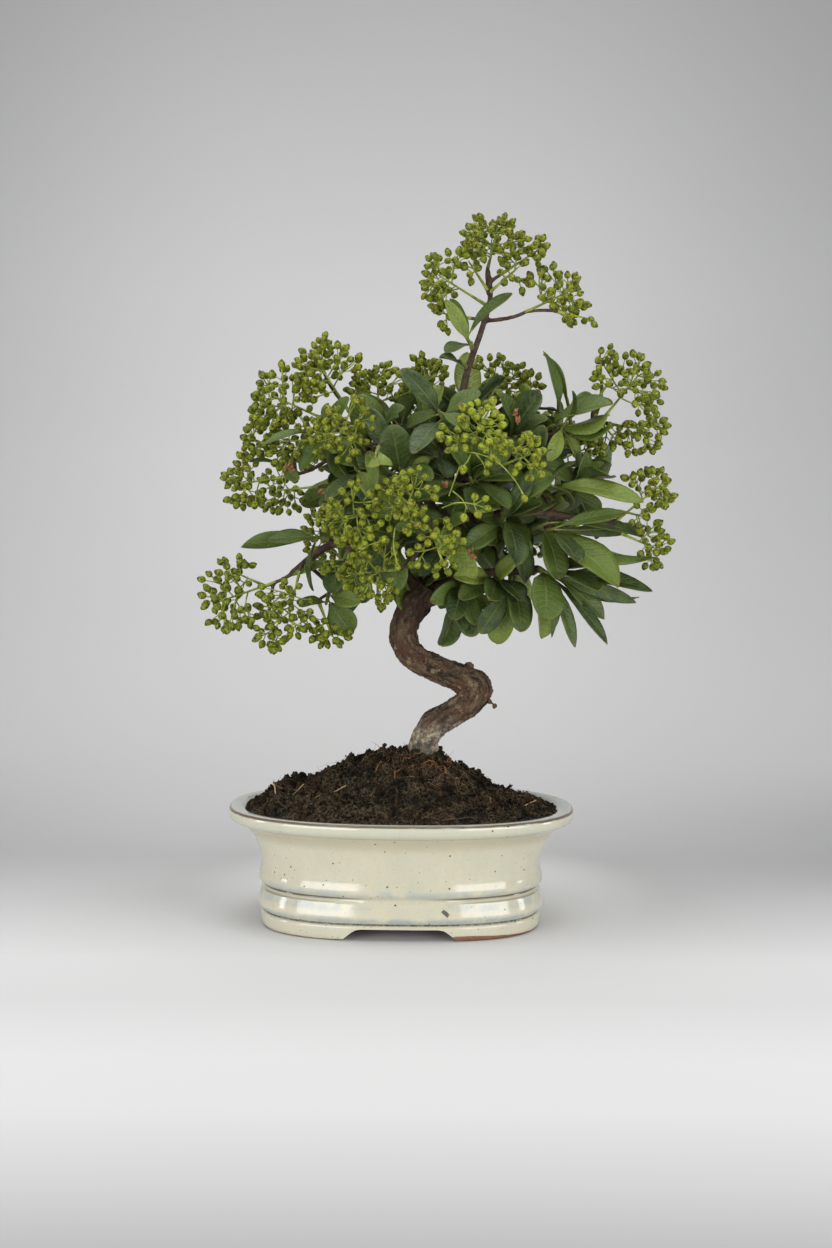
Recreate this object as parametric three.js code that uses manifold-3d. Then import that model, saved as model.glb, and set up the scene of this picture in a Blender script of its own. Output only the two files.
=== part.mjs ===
// Firethorn bonsai: an S-bent tree with green berries, standing in a mound of compost in an oval glazed pot.
// Millimetres, +Z up, +Y away from the front of the pot. Places are given from the middle of the pot's foot,
// and the finished group is then moved so that the origin lies under the middle of the whole object.
import * as THREE from "three";
import { mergeVertices } from "three/addons/utils/BufferGeometryUtils.js";
import Module from "manifold-3d";

const wasm = await Module();
wasm.setup();

// Driving dimensions of the pot
const POT_HEIGHT = 56;
const RIM_HALF_WIDTH = 85;
const OVAL_DEPTH = 0.765; // depth of every oval section as a share of its width
const OVAL_POWER = 2.35; // 2 is an ellipse, and more is squarer
const POT_SEGMENTS = 30;
const FOOT_HEIGHT = 5.8;
const UNDERSIDE_HEIGHT = 6.4;
const ARCH_HALF_WIDTH = 25.6; // of the arches that part the foot rim, a little below the ground
const ARCH_TOP_HALF_WIDTH = 19.8;
const ARCH_BOTTOM = -1.2;
const FLOOR_HEIGHT = 11;
const DRAIN_RADIUS = 5.5;
const DRAIN_SPACING = 56;

// Driving dimensions of the soil
const SOIL_EDGE_HEIGHT = 53.4;
const MOUND_HEIGHT = 30;
const MOUND_CENTRE_X = 4;
const MOUND_REACH = [80, 60]; // where it would come down to the edge's height, along X and along Y
const MOUND_BLUNTNESS = 0.012; // takes the point off its top
const SHOULDER_HEIGHT = 8;
const SHOULDER_X = -58;
const SHOULDER_REACH = [15, 34];
const LUMP_HEIGHT = 0.9;
const EDGE_BEVEL = 0.6;
const SOIL_GAP = 0.3; // between the compost and the pot, and between it and the trunk's foot
const TRUNK_HOLE_RADIUS = 8.1;

// Driving dimensions of the tree
const JOINT_GAP = 0.3; // between a woody tip and the green stalk that it carries
const CLEARANCE = 0.35; // kept between a leaf or berry and whatever it passes
const BERRY_RADIUS = 2.15;
const CELL = 4; // side of the grid in which the crown is searched
const WIDEST_TEST_BALL = 2.4;
const BALL_SPACING = 1.2;
const BLADE_BALL_RADIUS = 1.45;
const BERRIES_PER_MM2 = 0.18; // berries of a head for each square millimetre of its radius squared
const BERRY_SHARE = 7; // one berry in this many is modelled here, which spreads them evenly round the head
const DOME_ANGLE = 105; // how far round its head the berries reach, in degrees
const STALK_RADIUS = 0.9;
const PEDICEL_RADIUS = 0.5;
const TWIG_RADIUS = 1.05;
const THICK_TWIG = 1.3;
const LIMB_STEP = 17;
const LONG_TWIG = 16; // a twig longer than this has a bend half way
const BLADE_THICKNESS = 0.7;
const BLADE_STATIONS = [0.47, 0.8];
const PETIOLE_SHARE = 0.14;
const PETIOLE_RADIUS = 0.75;
const ROOT_DEPTH = 0.7; // a blade's root goes this far past the middle of its twig
const RULED_WIDTH = 0.37; // width of the other leaves as a share of their length
const LEAF_FOLD = 16; // each half of a blade rises this many degrees from its rib
const CROWN_CENTRE = new THREE.Vector3(16, 0, 205); // leaf faces turn away from here
const CROWN_TURN = new THREE.Vector3(0.4, 2.5, 0.4); // the crown is shallow, so they turn more to its front or back
const GOLDEN_ANGLE = 137.508;

// The wood: name, radius at its start and end, then the points that its middle line passes through
const TRUNK_POINTS = [
  [10, 0, 60], [10, 0, 72], [10, 0, 83], [11.5, 0, 90.5], [17, -1, 97.5], [26, -2, 103.5], [34, -3, 109.5],
  [35.8, -3, 115], [29, -2, 119.8], [19, -1, 123.5], [9, 1, 128], [2, 2, 134], [0, 3, 142], [2.2, 3, 150],
  [7, 2, 157.5], [12.5, 1, 165],
];
const TRUNK_RADII = [7.4, 7.4, 7.3, 7, 6.7, 6.8, 7.6, 7.9, 7.2, 6.6, 6.6, 7, 7.2, 7.2, 7.4, 6.2];
const LIMBS = [
  ["leader", 4.4, 1.2, [[11, 1, 160], [17, 4, 178], [21, 5, 198], [22, 2, 218], [25, 0, 242], [30, 0, 270],
    [37, -1, 291], [41, -2, 307], [39.6, -3, 319]]],
  ["left_up", 2.8, 1.8, [[20, 4, 194], [5, 2, 216], [-15, -2, 232], [-33, -5, 243]]],
  ["left", 3.4, 1.9, [[10, 1, 160], [-5, -2, 177], [-20, -6, 187], [-36, -11, 185], [-54, -16, 171]]],
  ["left_stub", 2.4, 1.6, [[4, 3, 152], [-3, 3, 158], [-6, 4, 164]]],
  ["cut_stub", 3, 2.4, [[9, 2, 156], [15, -2, 158], [20, -5, 160]]],
  ["knee_nub", 1.7, 0.9, [[36, -3, 113], [40, -4, 114], [44, -5, 114]]],
  ["right", 3.6, 1.9, [[12, 1, 162], [30, -3, 170], [50, -9, 173], [64, -13, 173]]],
  ["right_mid", 2.7, 1.7, [[19, 5, 188], [38, -4, 199], [58, -13, 202], [80, -17, 200], [100, -18, 196]]],
  ["right_up", 2.7, 1.7, [[21, 3, 208], [42, -2, 228], [66, -7, 238], [95, -10, 246]]],
  ["front", 2.4, 1.8, [[17, 3, 176], [15, -16, 188], [12, -38, 193]]],
  ["front_up", 2.3, 1.7, [[21, 3, 206], [27, -15, 220], [30, -33, 228]]],
  ["back_left", 2.8, 1.8, [[18, 4, 184], [2, 26, 200], [-22, 44, 212]]],
  ["back_right", 2.8, 1.8, [[21, 5, 198], [38, 26, 214], [58, 44, 226]]],
  ["back_low", 3, 1.8, [[13, 2, 163], [14, 26, 177], [15, 46, 188], [15, 60, 198]]],
  ["back_up", 2.2, 1.7, [[22, 2, 222], [20, 18, 240], [16, 38, 252]]],
];

// The berry heads: name, where the stalk leaves the wood, the middle of the head, and the head's radius
const HEADS = [
  ["top_crown", [39.6, -3, 321], [43, -4, 335], 19],
  ["top_left", [38, -3, 303], [16, -6, 316], 15],
  ["top_right", [58, -6, 299], [77, -8, 308], 17],
  ["up_left_high", [-28, -5, 251], [-41, -8, 271], 18],
  ["up_left", [-39, -7, 246], [-64, -10, 257], 19],
  ["up_left_mid", [-13, 6, 250], [-14, 6, 266], 17],
  ["left", [-37, -12, 236], [-58, -15, 235], 17],
  ["left_front", [-19, -26, 232], [-31, -42, 240], 17],
  ["left_small", [-54, -10, 219], [-80, -12, 214], 14],
  ["low_left_end", [-62, -18, 167], [-87, -20, 158], 18],
  ["low_left_mid", [-50, -22, 172], [-54, -30, 152], 18],
  ["front_left", [-8, -36, 200], [-27, -54, 199], 18],
  ["front", [10, -44, 198], [-1, -64, 208], 16],
  ["front_low_left", [-4, -34, 174], [-17, -50, 173], 16],
  ["front_low", [15, -44, 188], [16, -62, 184], 13],
  ["front_up", [31, -37, 230], [34, -57, 240], 17],
  ["front_right", [42, -36, 222], [57, -55, 228], 12],
  ["top_back_right", [38, 20, 252], [50, 30, 272], 15],
  ["top_back_left", [16, 16, 250], [9, 28, 273], 13],
  ["up_right_high", [97, -10, 249], [112, -12, 268], 18],
  ["up_right_low", [99, -12, 245], [117, -17, 242], 14],
  ["right_behind", [76, 14, 228], [90, 20, 234], 14],
  ["far_right", [103, -19, 199], [121, -21, 214], 13],
  ["far_right_low", [105, -21, 192], [121, -25, 185], 12],
  ["back_left_high", [-26, 42, 226], [-44, 54, 240], 16],
  ["back_left_low", [-22, 40, 194], [-44, 52, 188], 15],
  ["back_top", [15, 40, 254], [11, 56, 266], 15],
  ["back_middle", [15, 63, 201], [16, 77, 213], 16],
  ["back_right_high", [60, 46, 228], [78, 60, 244], 16],
  ["back_right_low", [58, 40, 196], [82, 52, 190], 15],
  ["left_behind", [-44, 22, 214], [-66, 32, 212], 14],
];

// The leafy shoots: name, where the shoot leaves the wood, its end, and its leaves. A leaf is the place of its tip,
// its width, and a roll in degrees if it shows its underside.
const SHOOTS = [
  ["top", [32, -8, 282], [29, -13, 286],
    [[19, -18, 278, 8], [21, -12, 304, 8], [51, -12, 307, 8]]],
  ["tall_leaf", [73, -8, 245], [77, -12, 251],
    [[67, -6, 280, 8], [99, -22, 254, 11], [95, 2, 265, 8], [63, -2, 261, 7]]],
  ["up_right", [74, -16, 241], [76, -23, 244],
    [[98, -32, 238, 11, 180], [90, -14, 227, 7], [68, -30, 226, 7], [79, -34, 259, 7, 20]]],
  ["top_middle", [51, -2, 237], [54, -8, 243],
    [[60, -14, 262, 16], [45, -18, 262, 11], [71, -6, 256, 11], [37, -4, 264, 9], [66, -26, 236, 9]]],
  ["centre_left", [19, -30, 243], [16, -38, 249],
    [[-2, -36, 268, 10], [4, -54, 228, 11, 20], [31, -36, 263, 9], [-3, -30, 249, 8], [33, -54, 238, 7]]],
  ["centre_dark", [-1, -26, 216], [-2, -37, 222],
    [[-6, -42, 242, 15], [-20, -32, 253, 10], [-13, -52, 226, 9, 180], [-10, -52, 205, 9],
     [13, -56, 216, 10]]],
  ["left_inner", [-19, -24, 218], [-23, -34, 222],
    [[-36, -42, 233, 8], [-36, -48, 206, 8], [-15, -56, 207, 8], [-29, -26, 242, 8]]],
  ["left_pair", [-37, -16, 188], [-42, -21, 189],
    [[-78, -22, 184, 8, 110], [-61, -4, 187, 8], [-51, -28, 165, 8, 60]]],
  ["low_left", [-36, -16, 162], [-37, -22, 157],
    [[-20, -32, 162, 9], [-24, -30, 148, 13], [-49, -34, 159, 7]]],
  ["centre_low", [17, -30, 188], [16, -44, 192],
    [[-1, -56, 186, 13], [30, -54, 171, 10], [12, -58, 174, 9], [30, -58, 198, 9], [3, -60, 202, 8]]],
  ["low_near_trunk", [26, 2, 163], [25, -4, 158],
    [[19, -8, 136, 14], [30, -4, 143, 9], [13, -14, 167, 10], [46, -4, 155, 7]]],
  ["low_middle", [52, -12, 170], [51, -19, 165],
    [[56, -30, 145, 13], [52, -18, 137, 12], [39, -20, 142, 10]]],
  ["right_fan", [66, -16, 175], [69, -24, 173],
    [[67, -38, 151, 16], [82, -34, 149, 13], [93, -26, 144, 7], [108, -26, 149, 7, 30],
     [119, -28, 159, 8, 150], [96, -14, 178, 8]]],
  ["right_low_arch", [68, -16, 193], [71, -26, 194],
    [[117, -38, 175, 15, 150], [81, -46, 179, 13], [106, -18, 198, 7], [118, -4, 196, 7, 180]]],
  ["right_arch", [67, -14, 214], [70, -24, 215],
    [[113, -34, 207, 11], [79, -32, 228, 7], [89, -14, 205, 7]]],
  ["centre_right", [47, -16, 201], [47, -28, 195],
    [[53, -42, 177, 13], [65, -32, 204, 9], [61, -34, 171, 11], [35, -44, 184, 10], [58, -36, 217, 9]]],
  ["centre_middle", [33, -22, 214], [31, -36, 218],
    [[26, -58, 201, 11], [9, -52, 206, 10], [44, -52, 222, 9], [53, -44, 225, 8], [22, -48, 232, 8]]],
  ["up_left_inner", [-34, -14, 240], [-38, -22, 236],
    [[-49, -30, 220, 9], [-68, -26, 224, 6], [-27, -24, 256, 8], [-41, -34, 250, 7]]],
  ["back_left", [-18, 35, 212], [-28, 46, 219], []],
  ["back_left_low", [-10, 30, 184], [-24, 46, 178], []],
  ["back_middle_low", [14, 42, 180], [13, 56, 176], []],
  ["back_middle_up", [27, 26, 246], [34, 42, 254], []],
  ["back_right", [45, 30, 220], [60, 38, 234], []],
  ["back_right_low", [42, 24, 184], [62, 38, 178], []],
  ["back_deep", [12, 50, 199], [6, 60, 212], []],
  ["right_side", [70, 6, 214], [90, 14, 214], []],
];
const RULED_LEAVES = 4; // leaves of a shoot that has no list of its own
const SWINGS = [0, 9, 18, 28, 39]; // a leaf that would touch something is swung by these degrees, in eight directions
const SHORTER = [1, 0.86, 0.72]; // and then made shorter
const CORE_SHARE = 0.7; // leaves keep out of this share of a head's radius

// Colours
const GLAZE = new THREE.MeshStandardMaterial({ color: 0xdcd7bf, roughness: 0.18 });
const SOIL = new THREE.MeshStandardMaterial({ color: 0x2a2019, roughness: 0.97 });
const BARK = new THREE.MeshStandardMaterial({ color: 0x5c4a3d, roughness: 0.85 });
const LEAF = new THREE.MeshStandardMaterial({ color: 0x3b6128, roughness: 0.42 });
const BERRY = new THREE.MeshStandardMaterial({ color: 0x6f8a2a, roughness: 0.4 });

const vector = (place) => new THREE.Vector3(...place);
const radians = THREE.MathUtils.degToRad;

// Repeatable draws between 0 and 1, the same every time for one seed.
function draws(seed) {
  let state = (seed * 7919 + 104729) % 2147483647;
  return () => {
    state = (state * 48271) % 2147483647;
    return state / 2147483647;
  };
}

// A closed geometry as a solid that can be joined and cut.
function solid(geometry) {
  const bare = geometry.clone();
  bare.deleteAttribute("normal");
  bare.deleteAttribute("uv");
  const merged = mergeVertices(bare, 1e-4);
  const index = merged.index.array;
  const corners = [];
  for (let i = 0; i < index.length; i += 3) {
    const [a, b, c] = [index[i], index[i + 1], index[i + 2]];
    if (a !== b && b !== c && c !== a) corners.push(a, b, c);
  }
  const mesh = { numProp: 3, vertProperties: merged.attributes.position.array, triVerts: new Uint32Array(corners) };
  return new wasm.Manifold(new wasm.Mesh(mesh));
}

const join = (solids) => solids.reduce((whole, next) => whole.add(next));

// A joined solid as a named mesh.
function piece(name, material, body) {
  const made = body.getMesh();
  const geometry = new THREE.BufferGeometry();
  geometry.setAttribute("position", new THREE.BufferAttribute(new Float32Array(made.vertProperties), 3));
  geometry.setIndex(new THREE.BufferAttribute(new Uint32Array(made.triVerts), 1));
  const mesh = new THREE.Mesh(geometry, material);
  mesh.name = name;
  return mesh;
}

// A direction at right angles to another.
function across(along) {
  const helper = Math.abs(along.z) < 0.9 ? new THREE.Vector3(0, 0, 1) : new THREE.Vector3(1, 0, 0);
  return new THREE.Vector3().crossVectors(helper, along).normalize();
}

// A round stem: a cylinder whose rings are moved to the given places, widths and turns.
function stem(places, radii, sides, turns = []) {
  const last = places.length - 1;
  const rod = new THREE.CylinderGeometry(1, 1, 1, sides, last);
  const rings = [];
  let side = across(places[1].clone().sub(places[0]).normalize());
  places.forEach((place, i) => {
    const along = places[Math.min(i + 1, last)].clone().sub(places[Math.max(i - 1, 0)]).normalize();
    side = side.clone().addScaledVector(along, -side.dot(along)).normalize();
    const turned = side.clone().applyAxisAngle(along, turns[i] ?? 0);
    rings.push({ place, radius: radii[i], side: turned, other: new THREE.Vector3().crossVectors(turned, along) });
  });
  const points = rod.attributes.position;
  for (let i = 0; i < points.count; i++) {
    const ring = rings[Math.round((points.getY(i) + 0.5) * last)];
    const spot = ring.place.clone();
    spot.addScaledVector(ring.side, points.getX(i) * ring.radius);
    spot.addScaledVector(ring.other, points.getZ(i) * ring.radius);
    points.setXYZ(i, spot.x, spot.y, spot.z);
  }
  return solid(rod);
}

// The pot
// A lathe's circle pressed into the pot's oval.
function oval(lathe) {
  lathe.rotateX(Math.PI / 2);
  const points = lathe.attributes.position;
  for (let i = 0; i < points.count; i++) {
    const x = points.getX(i);
    const y = points.getY(i);
    const radius = Math.hypot(x, y);
    if (radius < 1e-6) continue;
    const [c, s] = [x / radius, y / radius];
    const stretch = (Math.abs(c) ** OVAL_POWER + Math.abs(s) ** OVAL_POWER) ** (-1 / OVAL_POWER);
    points.setX(i, c * stretch * radius);
    points.setY(i, s * stretch * radius * OVAL_DEPTH);
  }
  return lathe;
}

// A lathe turns its profile about Y, and the oval() call then stands it up along Z.
const turned = (profile) => {
  const points = profile.map(([radius, height]) => new THREE.Vector2(radius, height));
  return oval(new THREE.LatheGeometry(points, POT_SEGMENTS));
};

const INNER_WALL = [[75.6, 54.6], [66, 38], [63.6, 20], [57, FLOOR_HEIGHT]];

function pot() {
  const outside = [
    [0, UNDERSIDE_HEIGHT], [58.6, UNDERSIDE_HEIGHT], [59.6, 0], [66.4, 0], [67.7, 1.2], [68.3, 7.4],
    [67.3, 8.2], [69.1, 9.4], [70.4, 14], [69.4, 18.7], [68.2, 19.8], [69.7, 21.2], [71, 34],
    [75, 43], [79.4, 48], [84.2, 50.1], [RIM_HALF_WIDTH, 54.4], [83.4, POT_HEIGHT],
  ];
  const profile = [...outside, [76.8, POT_HEIGHT - 0.4], ...INNER_WALL, [0, FLOOR_HEIGHT]];
  const body = solid(turned(profile));
  const arch = new THREE.Shape();
  arch.moveTo(-ARCH_HALF_WIDTH, ARCH_BOTTOM);
  arch.lineTo(ARCH_HALF_WIDTH, ARCH_BOTTOM);
  arch.lineTo(ARCH_TOP_HALF_WIDTH, FOOT_HEIGHT);
  arch.lineTo(-ARCH_TOP_HALF_WIDTH, FOOT_HEIGHT);
  const cutter = new THREE.ExtrudeGeometry(arch, { depth: 2 * RIM_HALF_WIDTH, bevelEnabled: false });
  cutter.rotateX(Math.PI / 2);
  cutter.translate(0, RIM_HALF_WIDTH, 0);
  let made = body.subtract(solid(cutter));
  for (const side of [-1, 1]) {
    const drain = new THREE.CylinderGeometry(DRAIN_RADIUS, DRAIN_RADIUS, 2 * FLOOR_HEIGHT, 12);
    drain.rotateX(Math.PI / 2);
    drain.translate((side * DRAIN_SPACING) / 2, 0, FLOOR_HEIGHT / 2);
    made = made.subtract(solid(drain));
  }
  return piece("pot", GLAZE, made);
}

// The soil
// Its top is first drawn flat at height 0, and each point there is then raised to the height of the compost.
// Height of the compost at a place, with its edge share: 0 in the middle and 1 where it meets the pot.
function soilHeight(x, y, share) {
  const off = Math.hypot((x - MOUND_CENTRE_X) / MOUND_REACH[0], y / MOUND_REACH[1]);
  const dome = Math.max(0, 1 - Math.sqrt(off * off + MOUND_BLUNTNESS)) ** 0.92;
  const shoulder = Math.exp(-(((x - SHOULDER_X) / SHOULDER_REACH[0]) ** 2) - (y / SHOULDER_REACH[1]) ** 2);
  const lumps = Math.sin(x * 0.31 + y * 0.17) * Math.cos(y * 0.29 - x * 0.11) + 0.6 * Math.sin(x * 0.63 - y * 0.71);
  const fade = 1 - share ** 6;
  return SOIL_EDGE_HEIGHT + MOUND_HEIGHT * dome + (SHOULDER_HEIGHT * shoulder + LUMP_HEIGHT * lumps) * fade;
}

// The basin's half width at a height near its top, less the gap that the soil keeps to it.
const [[lip, lipHeight], [waist, waistHeight]] = INNER_WALL;
const basin = (height) => THREE.MathUtils.mapLinear(height, waistHeight, lipHeight, waist, lip) - 2 * SOIL_GAP;
const EDGE_RADIUS = basin(SOIL_EDGE_HEIGHT - EDGE_BEVEL);

function soil() {
  const inset = INNER_WALL.map(([radius, height]) => [radius - 2 * SOIL_GAP, height + SOIL_GAP]);
  const rings = [1, 0.8, 0.6, 0.4, 0.2].map((share) => [share * EDGE_RADIUS, 0]);
  const under = inset.slice(1).reverse();
  const edge = [EDGE_RADIUS, SOIL_EDGE_HEIGHT - EDGE_BEVEL];
  const profile = [[0, FLOOR_HEIGHT + SOIL_GAP], ...under, edge, ...rings, [0, 0]];
  const heap = turned(profile);
  const points = heap.attributes.position;
  for (let i = 0; i < points.count; i++) {
    if (points.getZ(i) > 1) continue;
    const [x, y] = [points.getX(i), points.getY(i)];
    const share = Math.hypot(x / EDGE_RADIUS, y / (EDGE_RADIUS * OVAL_DEPTH));
    points.setZ(i, soilHeight(x, y, Math.min(1, share)));
  }
  const [holeX, holeY, trunkEnd] = TRUNK_POINTS[0];
  const hole = new THREE.CylinderGeometry(TRUNK_HOLE_RADIUS, TRUNK_HOLE_RADIUS, POT_HEIGHT, 12);
  hole.rotateX(Math.PI / 2);
  hole.translate(holeX, holeY, trunkEnd - SOIL_GAP + POT_HEIGHT / 2);
  return piece("soil", SOIL, solid(heap).subtract(solid(hole)));
}

// What stands in the crown, as small balls, so that a new leaf or berry can be tested against it. The balls are
// listed in every cube of a grid from which they could be touched.
class Crowd {
  constructor() {
    this.cells = new Map();
  }
  key(x, y, z) {
    return [x, y, z].map((value) => Math.floor(value / CELL)).join();
  }
  add(ball) {
    const reach = ball.radius + WIDEST_TEST_BALL + CLEARANCE;
    const { x, y, z } = ball.place;
    for (let a = x - reach; a < x + reach + CELL; a += CELL)
      for (let b = y - reach; b < y + reach + CELL; b += CELL)
        for (let c = z - reach; c < z + reach + CELL; c += CELL) {
          const key = this.key(a, b, c);
          if (!this.cells.has(key)) this.cells.set(key, []);
          this.cells.get(key).push(ball);
        }
  }
  // A ball may touch its own node, apart from the open part of another blade there. The cores of the berry heads
  // only count where they are asked for.
  clear(ball, cores = false) {
    const near = this.cells.get(this.key(ball.place.x, ball.place.y, ball.place.z)) ?? [];
    return near.every((other) => {
      if (other.core && !cores) return true;
      if (other.node === ball.node && !(other.open && ball.open)) return true;
      return other.place.distanceTo(ball.place) > other.radius + ball.radius + CLEARANCE;
    });
  }
}
const crowd = new Crowd();

// Balls along a stem.
function stemBalls(node, places, radii) {
  const balls = [];
  places.slice(1).forEach((end, i) => {
    const start = places[i];
    const steps = Math.max(1, Math.ceil(start.distanceTo(end) / BALL_SPACING));
    for (let k = 0; k <= steps; k++) {
      const radius = THREE.MathUtils.lerp(radii[i], radii[i + 1], k / steps);
      balls.push({ node, place: start.clone().lerp(end, k / steps), radius });
    }
  });
  return balls;
}

// The wood
const WOOD_NAME = "trunk_and_branches";
const limbLines = LIMBS.map(([, start, end, places]) => {
  const curve = new THREE.CatmullRomCurve3(places.map(vector));
  const line = curve.getSpacedPoints(Math.max(2, Math.round(curve.getLength() / LIMB_STEP)));
  const radii = line.map((_, i) => THREE.MathUtils.lerp(start, end, (i / (line.length - 1)) ** 0.6));
  return { line, radii };
});

// The woody twig that carries a shoot or a head: it leaves the limb between two of its rings, where the way out to
// its foot is shortest, and arrives in line with the stalk that it carries.
function carrier(foot, away) {
  let best = { cost: Infinity };
  for (const { line, radii } of limbLines)
    for (let i = 1; i < line.length - 1; i++) {
      const place = line[i].clone().lerp(line[i + 1], 0.5);
      const cost = 1.2 * place.distanceTo(foot) + 0.8 * i;
      if (cost < best.cost) best = { cost, place, radius: Math.min(radii[i + 1], THICK_TWIG) };
    }
  const reach = best.place.distanceTo(foot);
  const straight = foot.clone().addScaledVector(away, -Math.min(0.45 * reach, 2.4));
  const handle = foot.clone().addScaledVector(away, -0.4 * reach);
  const bend = new THREE.QuadraticBezierCurve3(best.place, handle, straight).getPoint(0.5);
  const places = reach > LONG_TWIG ? [best.place, bend, straight, foot] : [best.place, straight, foot];
  const radii = places.map((_, i) => THREE.MathUtils.lerp(best.radius, TWIG_RADIUS, i / (places.length - 1)));
  return { places, radii };
}

function wood(feet) {
  const trunkLine = TRUNK_POINTS.map(vector);
  const stems = [stem(trunkLine, TRUNK_RADII, 9)];
  stemBalls(WOOD_NAME, trunkLine, TRUNK_RADII).forEach((ball) => crowd.add(ball));
  for (const { line, radii } of limbLines) {
    stems.push(stem(line, radii, radii[0] > 4 ? 6 : 5));
    stemBalls(WOOD_NAME, line, radii).forEach((ball) => crowd.add(ball));
  }
  for (const { foot, away } of feet) {
    const { places, radii } = carrier(foot, away);
    stems.push(stem(places, radii, 3));
    stemBalls(WOOD_NAME, places, radii).forEach((ball) => crowd.add(ball));
  }
  return piece(WOOD_NAME, BARK, join(stems));
}

// The berry heads
// Where a head's axis and berries stand. The berries lie on a dome, spaced by the golden angle, and as in every
// corymb the stalks of the outer ones leave the axis lower down.
function headPlan([name, footPlace, middlePlace, size], order) {
  const draw = draws(100 + order);
  const foot = vector(footPlace);
  const middle = vector(middlePlace);
  const away = middle.clone().sub(foot).normalize();
  const side = across(away);
  const other = new THREE.Vector3().crossVectors(away, side);
  const centre = middle.clone().addScaledVector(away, -0.3 * size);
  const neck = centre.clone().addScaledVector(away, -Math.min(0.5 * size, 0.6 * centre.distanceTo(foot)));
  const top = centre.clone().addScaledVector(away, 0.35 * size);
  const count = Math.round(BERRIES_PER_MM2 * size * size);
  const berries = [];
  for (let i = 0; i < count; i++) {
    const polar = Math.acos(1 - ((1 - Math.cos(radians(DOME_ANGLE))) * (i + 0.5)) / count);
    const around = radians(i * GOLDEN_ANGLE + 14 * draw());
    const shown = i % BERRY_SHARE === 3;
    const out = size * (shown ? 1.02 : 0.7 + 0.32 * draw());
    const place = centre.clone().addScaledVector(away, 0.8 * out * Math.cos(polar));
    place.addScaledVector(side, out * Math.sin(polar) * Math.cos(around));
    place.addScaledVector(other, out * Math.sin(polar) * Math.sin(around));
    berries.push({ place, root: top.clone().lerp(neck, (i + 0.5) / count), shown });
  }
  return { name: "berries_" + name, foot, away, centre, size, top, berries };
}

// A berry on its own stalk: the stalk widens into two rings turned against each other, and ends in a point.
function berryOnStalk({ root, place }) {
  const along = place.clone().sub(root).normalize();
  const at = (off) => place.clone().addScaledVector(along, off * BERRY_RADIUS);
  const belly = BERRY_RADIUS * 1.06;
  const radii = [PEDICEL_RADIUS, PEDICEL_RADIUS, belly, belly, 0];
  return stem([root, at(-1), at(-0.42), at(0.5), at(1.05)], radii, 3, [0, 0, 0, -Math.PI / 3, -Math.PI / 3]);
}

const headStalk = ({ foot, away, top }) => ({
  places: [foot.clone().addScaledVector(away, JOINT_GAP), top],
  radii: [TWIG_RADIUS, STALK_RADIUS],
});

// The berries that clear every other node.
function ripen(plan) {
  return plan.berries.filter(({ root, place }) => {
    const balls = [
      { node: plan.name, place, radius: BERRY_RADIUS * 1.1 },
      ...stemBalls(plan.name, [root, place], [PEDICEL_RADIUS, PEDICEL_RADIUS]),
    ];
    if (!balls.every((ball) => crowd.clear(ball))) return false;
    balls.forEach((ball) => crowd.add(ball));
    return true;
  });
}

function head(plan) {
  const { places, radii } = headStalk(plan);
  const shown = ripen(plan).filter((berry) => berry.shown);
  return piece(plan.name, BERRY, join([stem(places, radii, 4), ...shown.map(berryOnStalk)]));
}

// The leafy shoots
// Half the width of a blade along its length, as a share of its widest: narrow at the stalk and full near the tip.
const outline = (share) => Math.sin(Math.PI * share ** 1.5) ** 0.62;

// A leaf's middle line, faces and edges, bent in an arch away from its upper face.
function leafFrame(leaf, share) {
  const turn = leaf.arch * share;
  const reach = leaf.length / leaf.arch;
  const place = leaf.base.clone().addScaledVector(leaf.along, reach * Math.sin(turn));
  place.addScaledVector(leaf.face, -reach * (1 - Math.cos(turn)));
  const along = leaf.along.clone().multiplyScalar(Math.cos(turn)).addScaledVector(leaf.face, -Math.sin(turn));
  const face = leaf.face.clone().multiplyScalar(Math.cos(turn)).addScaledVector(leaf.along, Math.sin(turn));
  return { place, face, side: new THREE.Vector3().crossVectors(face, along) };
}

// A point of a leaf: share runs from stalk to tip, and edge from -1 at one edge to 1 at the other.
function leafPoint(leaf, share, edge, lift = 0) {
  const { place, face, side } = leafFrame(leaf, share);
  const half = 0.5 * leaf.width * outline(share) * edge;
  const point = place.addScaledVector(side, half * Math.cos(radians(LEAF_FOLD)));
  return point.addScaledVector(face, Math.abs(half) * Math.sin(radians(LEAF_FOLD)) + lift);
}

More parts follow.
